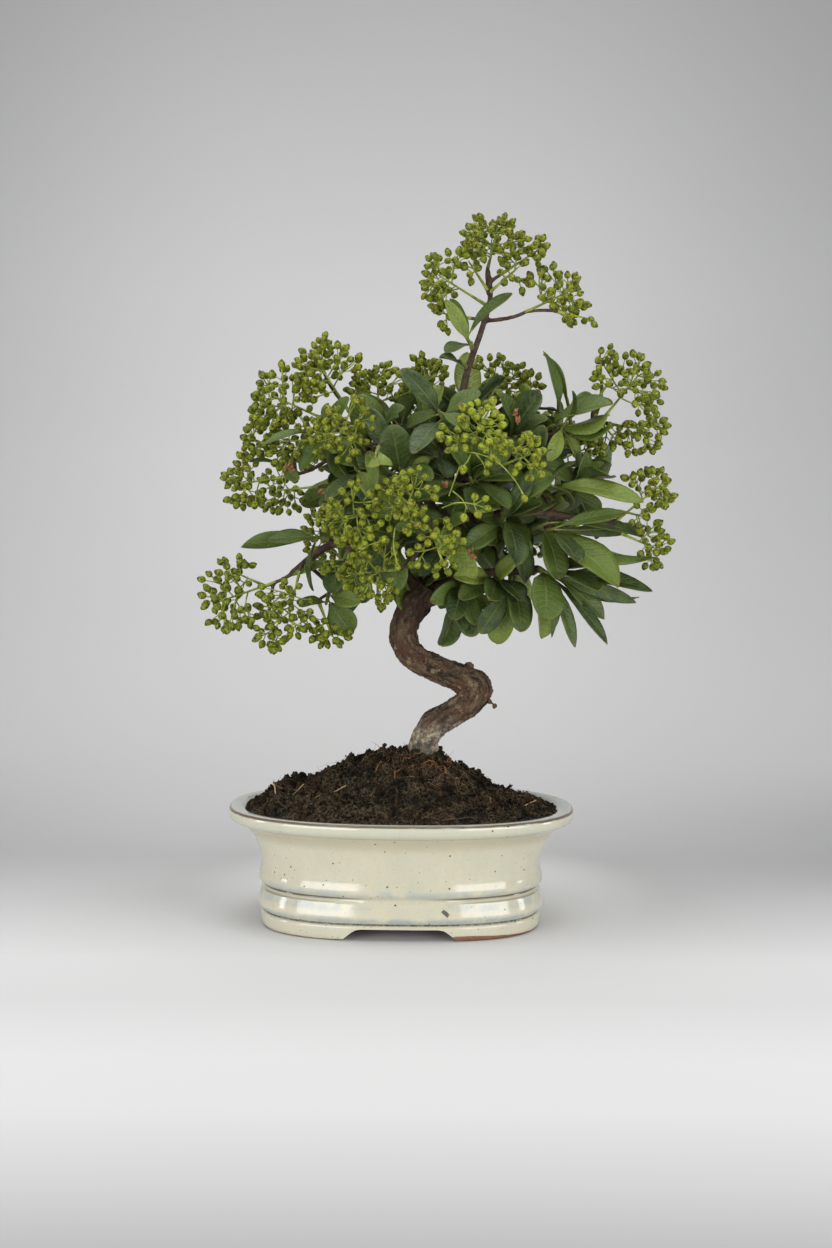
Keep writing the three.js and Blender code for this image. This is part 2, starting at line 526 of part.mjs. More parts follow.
// A blade as a closed skin: a point sunk in the twig, a small stalk section, a folded section at each station, and a
// point at the tip. Both faces are split into triangles alike.
function blade(leaf) {
  const { side, face } = leafFrame(leaf, PETIOLE_SHARE);
  const neck = leafPoint(leaf, PETIOLE_SHARE, 0);
  const corner = (x, z) => neck.clone().addScaledVector(side, x * PETIOLE_RADIUS).addScaledVector(face, z * 0.45);
  const spots = [leaf.base.clone().addScaledVector(leaf.along, -ROOT_DEPTH)];
  spots.push(corner(-1, 1), corner(1, 1), corner(-1, -1), corner(1, -1));
  for (const share of BLADE_STATIONS)
    for (const row of [1, -1])
      for (const edge of [-1, 0, 1]) spots.push(leafPoint(leaf, share, edge, (row * BLADE_THICKNESS) / 2));
  spots.push(leafPoint(leaf, 1, 0));
  const top = [[1, 2], [5, 6, 7], [11, 12, 13]];
  const under = [[3, 4], [8, 9, 10], [14, 15, 16]];
  const tip = spots.length - 1;
  const corners = [];
  for (const [rows, flip] of [[top, false], [under, true]]) {
    const add = (a, b, c) => corners.push(...(flip ? [a, c, b] : [a, b, c]));
    const [neckRow, wide, far] = rows;
    add(0, neckRow[0], neckRow[1]);
    add(neckRow[0], wide[0], wide[1]);
    add(neckRow[0], wide[1], neckRow[1]);
    add(neckRow[1], wide[1], wide[2]);
    for (const c of [0, 1]) {
      add(wide[c], far[c], far[c + 1]);
      add(wide[c], far[c + 1], wide[c + 1]);
      add(far[c], tip, far[c + 1]);
    }
  }
  const rim = [[1, 3], [5, 8], [11, 14]];
  const farRim = [[2, 4], [7, 10], [13, 16]];
  for (const [rows, flip] of [[rim, false], [farRim, true]]) {
    const add = (a, b, c) => corners.push(...(flip ? [a, c, b] : [a, b, c]));
    add(0, rows[0][1], rows[0][0]);
    for (const s of [0, 1]) {
      add(rows[s][0], rows[s][1], rows[s + 1][1]);
      add(rows[s][0], rows[s + 1][1], rows[s + 1][0]);
    }
    add(tip, rows[2][0], rows[2][1]);
  }
  return solid(new THREE.BufferGeometry().setFromPoints(spots).setIndex(corners));
}

// Balls all over a blade, close enough together that nothing passes between them.
function bladeBalls(node, leaf) {
  const balls = [];
  const rows = Math.ceil(leaf.length / 2);
  const columns = Math.ceil(leaf.width / (2 * BALL_SPACING));
  for (let i = 1; i <= rows; i++)
    for (let j = 0; j <= columns; j++) {
      const share = i / rows;
      const place = leafPoint(leaf, share, (2 * j) / columns - 1);
      balls.push({ node, place, radius: BLADE_BALL_RADIUS, open: share > PETIOLE_SHARE + 0.06 });
    }
  return balls;
}

// The leaves of a shoot: its own list, or a spiral round its twig. Each has its root, its tip, its width and a roll.
function leafList(foot, tip, rows, draw) {
  const count = rows.length || RULED_LEAVES;
  const root = (i) => foot.clone().lerp(tip, 0.2 + (0.7 * i) / (count - 1));
  const listed = ([x, y, z, width, roll = 0], i) => ({ root: root(i), tip: vector([x, y, z]), width, roll });
  if (rows.length) return rows.map(listed);
  const away = tip.clone().sub(foot).normalize();
  const side = across(away);
  const other = new THREE.Vector3().crossVectors(away, side);
  return Array.from({ length: count }, (_, i) => {
    const open = radians(72 - 9 * i);
    const round = radians(i * GOLDEN_ANGLE + 30 * draw());
    const length = 28 + 12 * draw();
    const end = root(i).addScaledVector(away, length * Math.cos(open));
    end.addScaledVector(side, length * Math.cos(round) * Math.sin(open));
    end.addScaledVector(other, length * Math.sin(round) * Math.sin(open));
    return { root: root(i), tip: end, width: RULED_WIDTH * length, roll: 0 };
  });
}

// One leaf as listed, and then swung and shortened ever more until it clears everything. Its face looks out of the
// crown and to the sky, and the blade arches away from that face while its ends stay on the line to the tip.
function* leafTries({ root, tip, width, roll }, draw) {
  const out = root.clone().sub(CROWN_CENTRE).multiply(CROWN_TURN).normalize();
  const sky = out.multiplyScalar(0.9).add(new THREE.Vector3(0, 0, 0.75));
  const tilt = radians(roll + 36 * (draw() - 0.5));
  const arch = radians(26 + 26 * draw());
  const reach = root.distanceTo(tip);
  const straight = tip.clone().sub(root).normalize();
  for (const shorter of SHORTER)
    for (const swing of SWINGS)
      for (let turn = 0; turn < (swing ? 8 : 1); turn++) {
        const line = straight.clone();
        line.applyAxisAngle(across(straight).applyAxisAngle(straight, (turn * Math.PI) / 4), radians(swing));
        const up = sky.clone().addScaledVector(line, -sky.dot(line)).normalize().applyAxisAngle(line, tilt);
        const along = line.clone().multiplyScalar(Math.cos(arch / 2)).addScaledVector(up, Math.sin(arch / 2));
        const face = up.multiplyScalar(Math.cos(arch / 2)).addScaledVector(line, -Math.sin(arch / 2));
        const length = (shorter * reach * (arch / 2)) / Math.sin(arch / 2);
        yield { base: root, along, face, arch, length, width: width * shorter };
      }
}

function shootPlan([name, footPlace, tipPlace, rows], order) {
  const draw = draws(500 + order);
  const foot = vector(footPlace);
  const tip = vector(tipPlace);
  const away = tip.clone().sub(foot).normalize();
  const leaves = leafList(foot, tip, rows, draw).map((leaf) => [...leafTries(leaf, draw)]);
  return { name: "leaves_" + name, foot, away, tip, leaves, ruled: rows.length === 0 };
}

const shootStem = ({ foot, away, tip }) => ({
  places: [foot.clone().addScaledVector(away, JOINT_GAP), tip],
  radii: [TWIG_RADIUS, 0.75 * TWIG_RADIUS],
});

function shoot(plan) {
  const { places, radii } = shootStem(plan);
  const solids = [stem(places, radii, 4)];
  for (const tries of plan.leaves) {
    const fits = (cores) => (guess) => bladeBalls(plan.name, guess).every((ball) => crowd.clear(ball, cores));
    const leaf = (plan.ruled && tries.find(fits(true))) || tries.find(fits(false));
    if (!leaf) continue;
    bladeBalls(plan.name, leaf).forEach((ball) => crowd.add(ball));
    solids.push(blade(leaf));
  }
  return piece(plan.name, LEAF, join(solids));
}

// The whole bonsai: the wood comes first, then the stalks, then the leaves outside the middles of the heads, and
// last the berries.
const heads = HEADS.map(headPlan);
const shoots = SHOOTS.map(shootPlan);
const tree = new THREE.Group();
tree.add(pot());
tree.add(soil());
tree.add(wood([...heads, ...shoots]));
for (const plan of [...heads, ...shoots]) {
  const { places, radii } = plan.top ? headStalk(plan) : shootStem(plan);
  stemBalls(plan.name, places, radii).forEach((ball) => crowd.add(ball));
}
for (const { name, centre, size } of heads)
  crowd.add({ node: name, place: centre, radius: CORE_SHARE * size, core: true });
shoots.forEach((plan) => tree.add(shoot(plan)));
heads.forEach((plan) => tree.add(head(plan)));

const box = new THREE.Box3().setFromObject(tree);
const middle = box.getCenter(new THREE.Vector3());
tree.position.set(-middle.x, -middle.y, -box.min.z);

export default tree;
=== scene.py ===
# %% [markdown]
# # A firethorn bonsai
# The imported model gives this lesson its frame: a pot, a heap of compost, a tree, leafy shoots and heads of
# berries, all in their real places. Each piece is made again here with the detail that the eye expects, and
# takes the place of its plain solid. Lengths are in millimetres from the middle of the pot's foot until a
# piece is finished, because that is how a maker would measure it.

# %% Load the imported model
import math

import bmesh
import bpy
from mathutils import Matrix, Vector, kdtree, noise
from mathutils.bvhtree import BVHTree


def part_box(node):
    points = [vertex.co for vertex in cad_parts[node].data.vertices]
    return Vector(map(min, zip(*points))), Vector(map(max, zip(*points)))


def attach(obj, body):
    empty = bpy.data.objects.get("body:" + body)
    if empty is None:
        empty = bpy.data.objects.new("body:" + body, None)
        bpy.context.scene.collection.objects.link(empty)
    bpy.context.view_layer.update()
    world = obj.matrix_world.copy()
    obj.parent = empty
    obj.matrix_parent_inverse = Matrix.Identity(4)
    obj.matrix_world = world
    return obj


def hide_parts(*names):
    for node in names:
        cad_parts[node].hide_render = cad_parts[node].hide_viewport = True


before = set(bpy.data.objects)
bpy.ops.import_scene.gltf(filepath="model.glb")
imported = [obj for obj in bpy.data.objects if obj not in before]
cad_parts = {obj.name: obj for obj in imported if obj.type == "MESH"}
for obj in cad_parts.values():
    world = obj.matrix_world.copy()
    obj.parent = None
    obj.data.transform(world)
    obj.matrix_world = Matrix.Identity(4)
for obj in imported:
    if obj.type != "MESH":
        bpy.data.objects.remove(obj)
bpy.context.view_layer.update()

scene = bpy.context.scene

# %% [markdown]
# Every place is measured from the middle of the pot's foot, and one matrix then takes a finished mesh into
# the frame's metres.

# %% Measure from the pot
MM = 0.001
pot_low, pot_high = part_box("pot")
POT_MIDDLE = Vector(((pot_low.x + pot_high.x) / 2, (pot_low.y + pot_high.y) / 2, 0))
TO_FRAME = Matrix.Translation(POT_MIDDLE) @ Matrix.Scale(MM, 4)
POT_HEIGHT = (pot_high.z - pot_low.z) / MM
RIM_HALF_WIDTH = (pot_high.x - pot_low.x) / 2 / MM
print(f"pot {2 * RIM_HALF_WIDTH:.1f} mm wide and {POT_HEIGHT:.1f} mm high")


def mesh_of(bm, name):
    """A bmesh as a mesh of its own. The bmesh is freed."""
    mesh = bpy.data.meshes.new(name)
    bm.to_mesh(mesh)
    bm.free()
    return mesh


def placed(name, data):
    """An object in the scene for a mesh, a light or a camera."""
    thing = bpy.data.objects.new(name, data)
    scene.collection.objects.link(thing)
    return thing


def finish_piece(name, bm, materials, replaces=()):
    """A bmesh in millimetres becomes an object at the origin that rides on the frame."""
    mesh = mesh_of(bm, name)
    mesh.transform(TO_FRAME)
    mesh.shade_smooth()
    for material in materials:
        mesh.materials.append(material)
    thing = placed(name, mesh)
    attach(thing, "root")
    if replaces:
        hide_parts(*replaces)
    return thing


# %% [markdown]
# Plants repeat themselves with small differences. A generator with a fixed seed gives the same differences
# at every run, so that the tree is always the same.


# %% Repeatable draws
def draws(seed):
    """A function that gives numbers between 0 and 1, always the same ones for one seed."""
    state = [(seed * 7919 + 104729) % 2147483647]

    def draw():
        state[0] = (state[0] * 48271) % 2147483647
        return state[0] / 2147483647

    return draw


def jitter(draw):
    """A random offset of up to half a unit along each axis."""
    return Vector((draw() - 0.5, draw() - 0.5, draw() - 0.5))


GOLDEN_ANGLE = math.radians(137.508)
print("first draws of seed 1:", [round(draw(), 3) for draw in [draws(1)] * 3])

# %% [markdown]
# A material is a network of nodes, but it reads best as arithmetic. A small class wraps a socket, so that
# `1 - mask` or `mask * 0.3` adds the Math node that it stands for. Any other node comes from one method,
# which takes its type, its settings and its inputs.


# %% Shader maths as Python
class Value:
    """A socket of a material. Arithmetic on it adds Math nodes."""

    def __init__(self, recipe, socket):
        self.recipe = recipe
        self.socket = socket

    def math(self, operation, *values):
        settings = {"operation": operation}
        return self.recipe.node("Math", settings, dict(enumerate(values)))

    def __add__(self, other):
        return self.math("ADD", self, other)

    def __sub__(self, other):
        return self.math("SUBTRACT", self, other)

    def __rsub__(self, other):
        return self.math("SUBTRACT", other, self)

    def __mul__(self, other):
        return self.math("MULTIPLY", self, other)

    def __truediv__(self, other):
        return self.math("DIVIDE", self, other)

    __radd__ = __add__
    __rmul__ = __mul__

    def size(self):
        return self.math("ABSOLUTE", self)

    def most(self, other):
        return self.math("MAXIMUM", self, other)

    def step(self, low, high):
        """0 below low and 1 above high, with a soft rise between. It falls if low is above high."""
        inputs = {"Value": self, "From Min": low, "From Max": high}
        return self.recipe.node("MapRange", {"interpolation_type": "SMOOTHSTEP"}, inputs)

    def mix(self, first, second):
        """The first colour where this is 0, and the second where it is 1."""
        return self.recipe.node("Mix", {"data_type": "RGBA"}, {0: self, 6: first, 7: second}, output=2)


class Recipe:
    """A material under construction."""

    def __init__(self, name):
        self.material = bpy.data.materials.new(name)
        self.material.use_nodes = True
        self.nodes = self.material.node_tree.nodes
        self.links = self.material.node_tree.links
        self.nodes.clear()

    def node(self, kind, settings=None, inputs=None, output=0):
        node = self.nodes.new("ShaderNode" + kind)
        for name, value in (settings or {}).items():
            if name == "stops":
                self.set_stops(node.color_ramp, value)
            else:
                setattr(node, name, value)
        for name, value in (inputs or {}).items():
            socket = node.inputs[name]
            if isinstance(value, Value):
                self.links.new(value.socket, socket)
            else:
                socket.default_value = rgba(value) if socket.type == "RGBA" else value
        return Value(self, node.outputs[output]) if node.outputs else None

    @staticmethod
    def set_stops(ramp, stops):
        while len(ramp.elements) < len(stops):
            ramp.elements.new(0.5)
        for element, (place, colour) in zip(ramp.elements, stops):
            element.position = place
            element.color = rgba(colour)

    def millimetres(self, stretch=(1, 1, 1)):
        """The place on the object in millimetres from the pot's middle, stretched along each axis."""
        place = self.node("TexCoord", output=3)
        scale = [1000 * value for value in stretch]
        move = [-1000 * middle * value for middle, value in zip(POT_MIDDLE, stretch)]
        return self.node("Mapping", {}, {"Vector": place, "Scale": scale, "Location": move})

    def attribute(self, name, output=2):
        """An attribute of the mesh as a number. Output 1 gives it as a vector."""
        return self.node("Attribute", {"attribute_name": name}, output=output)

    def distance(self, place, spot):
        return self.node("VectorMath", {"operation": "DISTANCE"}, {0: place, 1: spot}, output=1)

    def axis(self, place, index):
        return self.node("SeparateXYZ", {}, {0: place}, output=index)

    def noise(self, place, size, detail=2.0, roughness=0.5, warp=0.0):
        """Soft noise from 0 to 1 whose bumps are about size wide."""
        inputs = {"Vector": place, "Scale": 1 / size, "Detail": detail}
        return self.node("TexNoise", {}, {**inputs, "Roughness": roughness, "Distortion": warp})

    def cells(self, place, size, feature="F1", output=0):
        """The distance to the nearest of scattered points, as a share of their spacing, or their colour."""
        inputs = {"Vector": place, "Scale": 1 / size}
        return self.node("TexVoronoi", {"feature": feature}, inputs, output)

    def bump(self, height, depth, normal=None):
        """A relief whose height runs from 0 to 1 over the given depth in millimetres."""
        inputs = {"Height": height, "Distance": depth * MM, "Strength": 1.0}
        if normal:
            inputs["Normal"] = normal
        return self.node("Bump", {}, inputs)

    def surface(self, **inputs):
        named = {name.replace("_", " "): value for name, value in inputs.items()}
        shader = self.node("BsdfPrincipled", {}, named)
        self.node("OutputMaterial", {}, {"Surface": shader})
        return self.material


def layered(colour, *layers):
    """A colour with others laid over it in turn, each through its own mask."""
    for mask, tint in layers:
        colour = mask.mix(colour, tint)
    return colour


def rgba(colour):
    """A colour given as it looks on a screen, 0 to 255, as the linear one that a shader mixes."""
    return (*[screen_to_linear(value / 255) for value in colour], 1)


def screen_to_linear(value):
    return value / 12.92 if value <= 0.04045 else ((value + 0.055) / 1.055) ** 2.4


print("a mid grey of 128 is", round(screen_to_linear(128 / 255), 3), "in a shader")

# %% [markdown]
# The photograph was taken with a normal lens from a little above the pot's rim. The lens and the height
# were worked out from the oval of the rim and the height of the tree. The camera leans by half a degree, as
# the photograph does.

# %% Camera
CAMERA_PLACE = (5.8, -854.6, 196.3)
CAMERA_DIP = math.radians(3.34)
CAMERA_LEAN = math.radians(-0.585)
lens = bpy.data.cameras.new("camera")
lens.lens = 50
lens.sensor_width = 36
camera = placed("camera", lens)
camera.location = TO_FRAME @ Vector(CAMERA_PLACE)
camera.rotation_euler = (math.pi / 2 - CAMERA_DIP, CAMERA_LEAN, 0)
scene.camera = camera
print("camera at", [round(value, 3) for value in camera.location])

# %% [markdown]
# The pot is thrown on a wheel and then pressed into an oval. Here its profile is spun round the axis and
# each point is then moved to the oval, which is a little squarer than an ellipse. The profile's rounded
# corners come from a bevel on its own points, before the spin.

# %% Pot shape
OVAL_DEPTH = 0.765
FOOT_POWER = 2.75
BELLY_POWER = 2.5
RIM_POWER = 2.35
FOOT_TOP = 18
BELLY_TOP = 32
NECK_TOP = 46
POT_STEPS = 160
CORNER_PERCENT = 30
CORNER_STEPS = 2
POT_PROFILE = [
    (0, 6.4), (58.6, 6.4), (59.6, 0), (67.6, 0), (68.7, 1.3), (69, 6.6), (67.8, 7.9), (69.4, 9),
    (70.4, 10.4), (70.2, 12), (69.7, 14), (69.2, 16), (68.6, 18), (67.8, 19.4), (67.6, 20), (69.2, 20.8),
    (70.2, 22.2), (70.1, 23.6), (69.8, 25.2), (69.4, 26.9), (69.2, 28.6), (69.2, 30.6), (69.6, 33.4),
    (70.4, 36.8), (72, 41), (75, 46), (78.8, 49.4), (83, 50.6), (84.9, 52), (85.4, 54.8), (84.7, 56.6),
    (83.2, 57.2), (78.2, 56.8), (76.2, 55.4), (66.4, 38), (63.6, 20), (57, 11), (0, 11),
]


def clamped(value):
    return min(1, max(0, value))


def oval_power(height):
    """How square the oval is at a height: squarest in the foot, and least square at the rim."""
    if height < FOOT_TOP:
        return FOOT_POWER
    return BELLY_POWER + (RIM_POWER - BELLY_POWER) * clamped((height - BELLY_TOP) / (NECK_TOP - BELLY_TOP))


def oval_stretch(x, y, power=RIM_POWER):
    """How far a point at this angle is moved out to turn the wheel's circle into the pot's oval."""
    radius = math.hypot(x, y)
    c, s = abs(x) / radius, abs(y) / radius
    return (c**power + s**power) ** (-1 / power)


def press_oval(verts, rise):
    for vert in verts:
        if math.hypot(vert.co.x, vert.co.y) > 1e-6:
            stretch = oval_stretch(vert.co.x, vert.co.y, oval_power(vert.co.z + rise))
            vert.co.x *= stretch
            vert.co.y *= stretch * OVAL_DEPTH


def lathe_radius(place):
    """The radius that a point of the pot had on the wheel, before the pressing."""
    x, y = place.x, place.y / OVAL_DEPTH
    return math.hypot(x, y) / oval_stretch(x, y, oval_power(place.z)) if math.hypot(x, y) > 1e-6 else 0


def drawn_profile(profile):
    """A bmesh with a profile's points and the edges between them."""
    bm = bmesh.new()
    ring = [bm.verts.new((radius, 0, height)) for radius, height in profile]
    edges = [bm.edges.new(pair) for pair in zip(ring, ring[1:])]
    return bm, ring, edges


def spun(profile, steps, rise=0):
    """A profile spun round the axis and pressed to the oval that the pot has at this rise."""
    bm, ring, edges = drawn_profile(profile)
    centre = {"axis": (0, 0, 1), "cent": (0, 0, 0), "dvec": (0, 0, 0)}
    bmesh.ops.spin(bm, geom=ring + edges, use_merge=True, angle=2 * math.pi, steps=steps, **centre)
    bmesh.ops.remove_doubles(bm, verts=bm.verts, dist=1e-3)
    press_oval(bm.verts, rise)
    bmesh.ops.recalc_face_normals(bm, faces=bm.faces)
    return bm


def rounded(profile, percent, segments):
    """A profile with its corners rounded by a bevel on its points."""
    bm, ring, _ = drawn_profile(profile)
    size = {"offset": percent, "offset_type": "PERCENT", "segments": segments, "profile": 0.5}
    bmesh.ops.bevel(bm, geom=ring[1:-1], affect="VERTICES", clamp_overlap=True, material=-1, **size)
    start = min((vert for vert in bm.verts if len(vert.link_edges) == 1), key=lambda vert: vert.co.z)
    line, edge = [start], start.link_edges[0]
    while True:
        line.append(edge.other_vert(line[-1]))
        following = [other for other in line[-1].link_edges if other != edge]
        if not following:
            break
        edge = following[0]
    points = [(vert.co.x, vert.co.z) for vert in line]
    bm.free()
    return points


smooth_profile = rounded(POT_PROFILE, CORNER_PERCENT, CORNER_STEPS)
print("pot profile:", len(POT_PROFILE), "drawn points,", len(smooth_profile), "after rounding")

# %% [markdown]
# The glaze is a glossy cream one. It runs thin over the rim's sharp edge, where the iron in the clay shows
# as a brown line, and it pools grey-blue in the grooves. Small dark specks of iron come up through it, and
# the foot is left bare at the bottom, so that the pot doesn't stick to the kiln's shelf.

# %% Glaze
CREAM = (200, 195, 173)
STREAK = (191, 183, 158)
MOTTLE = (168, 160, 136)
PALE_GREEN = (182, 185, 170)
# A darker cream: painted shade in a band under the rim, and a faint halo round the upper groove.
POOL_BLUE = (158, 169, 167)
THIN_BROWN = (92, 70, 50)
DARKER_CREAM = (168, 156, 126)
GROOVE_GREY = (60, 64, 58)
SPECK = (50, 52, 48)
CHIP_GREY = (74, 74, 70)
CLAY = (146, 106, 78)
CLAY_DARK = (98, 62, 46)
RIM_LIP = (172, 178, 170)
RIM_EDGE_RADIUS = 84.5
RIM_EDGE_HEIGHT = 56.4
CHIP_X = 21.4
CHIP_HEIGHT = 13.9


def ridge_at(level, middle, reach):
    """1 at a level and 0 further than reach from it."""
    return (level - middle).size().step(reach, reach * 0.15)


def specks(recipe, here, spacing, radius):
    """Dots of uneven size, one now and then where scattered points lie near the surface."""
    near = recipe.cells(here, spacing)
    chance = recipe.axis(recipe.cells(here, spacing, output=1), 0)
    return near.step(radius, radius * 0.6) * chance.step(0.45, 0.5) * 0.9


def chip_mask(side, height, rough):
    """A slanted patch on the band where the glaze has chipped off."""
    right, up = side - CHIP_X, height - CHIP_HEIGHT
    along, over = right * 0.74 - up * 0.67, right * 0.67 + up * 0.74
    gap = (along / 2).size().most((over / 0.95).size()) + (rough - 0.5) * 1.4
    return gap.step(1.1, 0.85) * 0.9


def glaze_finish():
    recipe = Recipe("cream_glaze")
    here = recipe.millimetres()
    height = recipe.axis(here, 2)
    side = recipe.axis(here, 0)
    radius = recipe.attribute("lathe_radius")
    front = recipe.axis(here, 1).step(10, -10)
    cloudy = recipe.noise(here, 16, detail=3, roughness=0.6)
    patchy = recipe.noise(here, 8, detail=3, roughness=0.6)
    fine = recipe.noise(here, 1.2, detail=4, roughness=0.7)
    streaks = recipe.noise(recipe.millimetres((1, 1, 0.12)), 2.6, detail=3)
    wobble = recipe.noise(here, 9, detail=2) - 0.5
    level = height + wobble * 1.1
    outer = radius.step(66.2, 67.2)
    band_pool = ridge_at(level, 16.2, 3) * side.size().step(8, 32) * 0.8
    groove_pool = ridge_at(level, 9.8, 2.2).most(ridge_at(level, 22, 2.6) * 0.8)
    pool = band_pool.most(groove_pool) * outer * patchy.step(0.3, 0.62)
    upper_line = ridge_at(height, 20, 0.95) * (side.size().step(10, 34) * 0.9 + 0.08)
    lower_line = ridge_at(height, 7.9, 0.85) * (fine.step(0.35, 0.6) * 0.4 + 0.6)
    thin = (radius + wobble * 0.9 - RIM_EDGE_RADIUS).size().step(0.75, 0.3)
    thin = thin * (height + wobble - RIM_EDGE_HEIGHT).size().step(0.95, 0.45)
    colour = layered(
        CREAM,
        (cloudy.step(0.35, 0.72) * 0.45, PALE_GREEN),
        (streaks.step(0.3, 0.8) * 0.3, STREAK),
        (fine.step(0.5, 0.72) * 0.3, MOTTLE),
        # Painted shade: a darker cream band under the rim's overhang.
        (ridge_at(level, 46.5, 5) * 0.4, DARKER_CREAM),
        (pool * 0.85, POOL_BLUE),
        (level.step(50, 52) * 0.45, PALE_GREEN),
        (level.step(55.6, 56.8) * 0.7, RIM_LIP),
        (upper_line.most(lower_line) * outer, GROOVE_GREY),
        (ridge_at(level, 20, 2) * 0.15 * outer, DARKER_CREAM),
        (thin * 0.92, THIN_BROWN),
        (specks(recipe, here, spacing=5, radius=0.12), SPECK),
        (specks(recipe, here, spacing=3.1, radius=0.1), SPECK),
        (chip_mask(side, height, fine) * front, CHIP_GREY),
    )
    bare_line = 0.5 + side.step(20, 27) * side.step(78, 28) * 2.1 * front + wobble * 0.8
    bare = (height - bare_line).step(0.35, -0.15)
    bare = bare.most(radius.step(64.8, 63.6) * height.step(12, 6.5))
    clay = recipe.noise(here, 1.4, detail=4).mix(CLAY_DARK, CLAY)
    peel = recipe.noise(here, 2.2, detail=2)
    grain = recipe.noise(here, 0.5, detail=3)
    roughness = bare * 0.62 + 0.1 + streaks * 0.05
    normal = recipe.bump(grain * bare, 0.12, recipe.bump(peel, 0.035))
    colour = bare.mix(colour, clay)
    return recipe.surface(Base_Color=colour, Roughness=roughness, Normal=normal, IOR=1.52)


glaze = glaze_finish()
print("glaze nodes:", len(glaze.node_tree.nodes))

# %% [markdown]
# An arch parts the foot at the front and at the back, so that water can run off. A potter cuts it with a
# wire, and here one bar through the whole pot cuts both with a boolean. The glaze has run into the upper
# groove and nearly fills it in the middle of each long side.

# %% Spin the pot and cut its arches
GROOVE_LOW = 18
GROOVE_HIGH = 21.4
FILLED_RADIUS = 69
GROOVE_DEPTH = 2.5
FILL_REACH = 36
SHARP_ANGLE = math.radians(38)
ARCH_SIDE = [(30.4, -1.2), (28.3, 0), (26.7, 0.8), (24.9, 2.3), (22.6, 4.2), (20.8, 5.3), (18.2, 5.8)]


def arch_cutter():
    """A bar through the foot whose sides curve out at the bottom and in at the top."""
    bm = bmesh.new()
    outline = [(-x, z) for x, z in reversed(ARCH_SIDE)] + ARCH_SIDE
    face = bm.faces.new([bm.verts.new((x, -RIM_HALF_WIDTH, z)) for x, z in outline])
    grown = bmesh.ops.extrude_face_region(bm, geom=[face])
    moved = [item for item in grown["geom"] if isinstance(item, bmesh.types.BMVert)]
    bmesh.ops.translate(bm, verts=moved, vec=(0, 2 * RIM_HALF_WIDTH, 0))
    bmesh.ops.recalc_face_normals(bm, faces=bm.faces)
    return bm


def fill_groove(verts):
    """Lifts the upper groove in the middle of the front and of the back, where glaze has filled it."""
    for vert in verts:
        gap = FILLED_RADIUS - lathe_radius(vert.co)
        in_groove = 0 < gap < GROOVE_DEPTH and GROOVE_LOW < vert.co.z < GROOVE_HIGH
        if in_groove and abs(vert.co.x) < FILL_REACH:
            share = 1 - (vert.co.x / FILL_REACH) ** 2
            vert.co.y *= 1 + 0.8 * share * gap / FILLED_RADIUS


def applied(thing):
    """The mesh of an object with its modifiers worked in. The object itself is removed."""
    result = bpy.data.meshes.new_from_object(thing.evaluated_get(bpy.context.evaluated_depsgraph_get()))
    bpy.data.objects.remove(thing)
    return result


pot_body = placed("pot_body", mesh_of(spun(smooth_profile, POT_STEPS), "pot_body"))
cutter = placed("arch_cutter", mesh_of(arch_cutter(), "arch_cutter"))
cut = pot_body.modifiers.new("arches", "BOOLEAN")
cut.operation = "DIFFERENCE"
cut.object = cutter
pot_bm = bmesh.new()
pot_bm.from_mesh(applied(pot_body))
bpy.data.objects.remove(cutter)
fill_groove(pot_bm.verts)
lathe_layer = pot_bm.verts.layers.float.new("lathe_radius")
for vert in pot_bm.verts:
    vert[lathe_layer] = lathe_radius(vert.co)
pot = finish_piece("glazed_pot", pot_bm, [glaze], ["pot"])
pot.data.set_sharp_from_angle(angle=SHARP_ANGLE)
print("pot faces:", len(pot.data.polygons))

# %% [markdown]
# The compost is heaped up to the trunk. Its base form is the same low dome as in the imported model, and
# fractal noise then breaks it into lumps.

# %% Soil shape
SOIL_EDGE_HEIGHT = 55.9
SOIL_RADIUS = 77
SOIL_RINGS = 70
SOIL_STEPS = 280
SOIL_DEPTH = 7
MOUND_CENTRE_X = 6
MOUND_DEPTH = 0.74
RIGHT_SLOPE = [(0, 84.4), (8, 83.6), (14, 80.6), (20, 76.8), (26, 74.6), (31, 70.6), (37, 67.4), (44, 64),
               (51, 61), (60, 59), (68, 57.2), (76, 55.9), (200, 55.9)]
LEFT_SLOPE = [(0, 84.4), (10, 83.8), (18, 82.3), (26, 80), (34, 76.6), (42, 73.4), (47, 70.4), (52, 66.3),
              (57, 66), (64, 66.8), (70, 67), (76, 61.6), (81, 60.2), (86, 57.5), (90, 55.9), (200, 55.9)]


def slope_height(slope, off):
    """Height on a slope at a distance from the mound's middle."""
    for (near, high), (far, low) in zip(slope, slope[1:]):
        if off < far:
            return high + (low - high) * (off - near) / (far - near)
    return slope[-1][1]


def soil_height(x, y):
    """Height of the heap at a place, before its lumps. Between its left and right slopes it turns evenly."""
    x_off, y_off = x - MOUND_CENTRE_X, y / MOUND_DEPTH
    off = math.hypot(x_off, y_off)
    right = 0.5 + 0.5 * x_off / off if off > 1e-6 else 0.5
    height = right * slope_height(RIGHT_SLOPE, off) + (1 - right) * slope_height(LEFT_SLOPE, off)
    waves = math.sin(x * 0.31 + y * 0.17) * math.cos(y * 0.29 - x * 0.11)
    waves += 0.6 * math.sin(x * 0.63 - y * 0.71)
    fade = 1 - edge_share(x, y) ** 8
    return SOIL_EDGE_HEIGHT + (height - SOIL_EDGE_HEIGHT + 0.7 * waves) * fade


def edge_share(x, y):
    """0 in the middle of the soil and 1 where it meets the pot."""
    if math.hypot(x, y) < 1e-6:
        return 0
    return min(1, math.hypot(x, y / OVAL_DEPTH) / oval_stretch(x, y / OVAL_DEPTH) / SOIL_RADIUS)


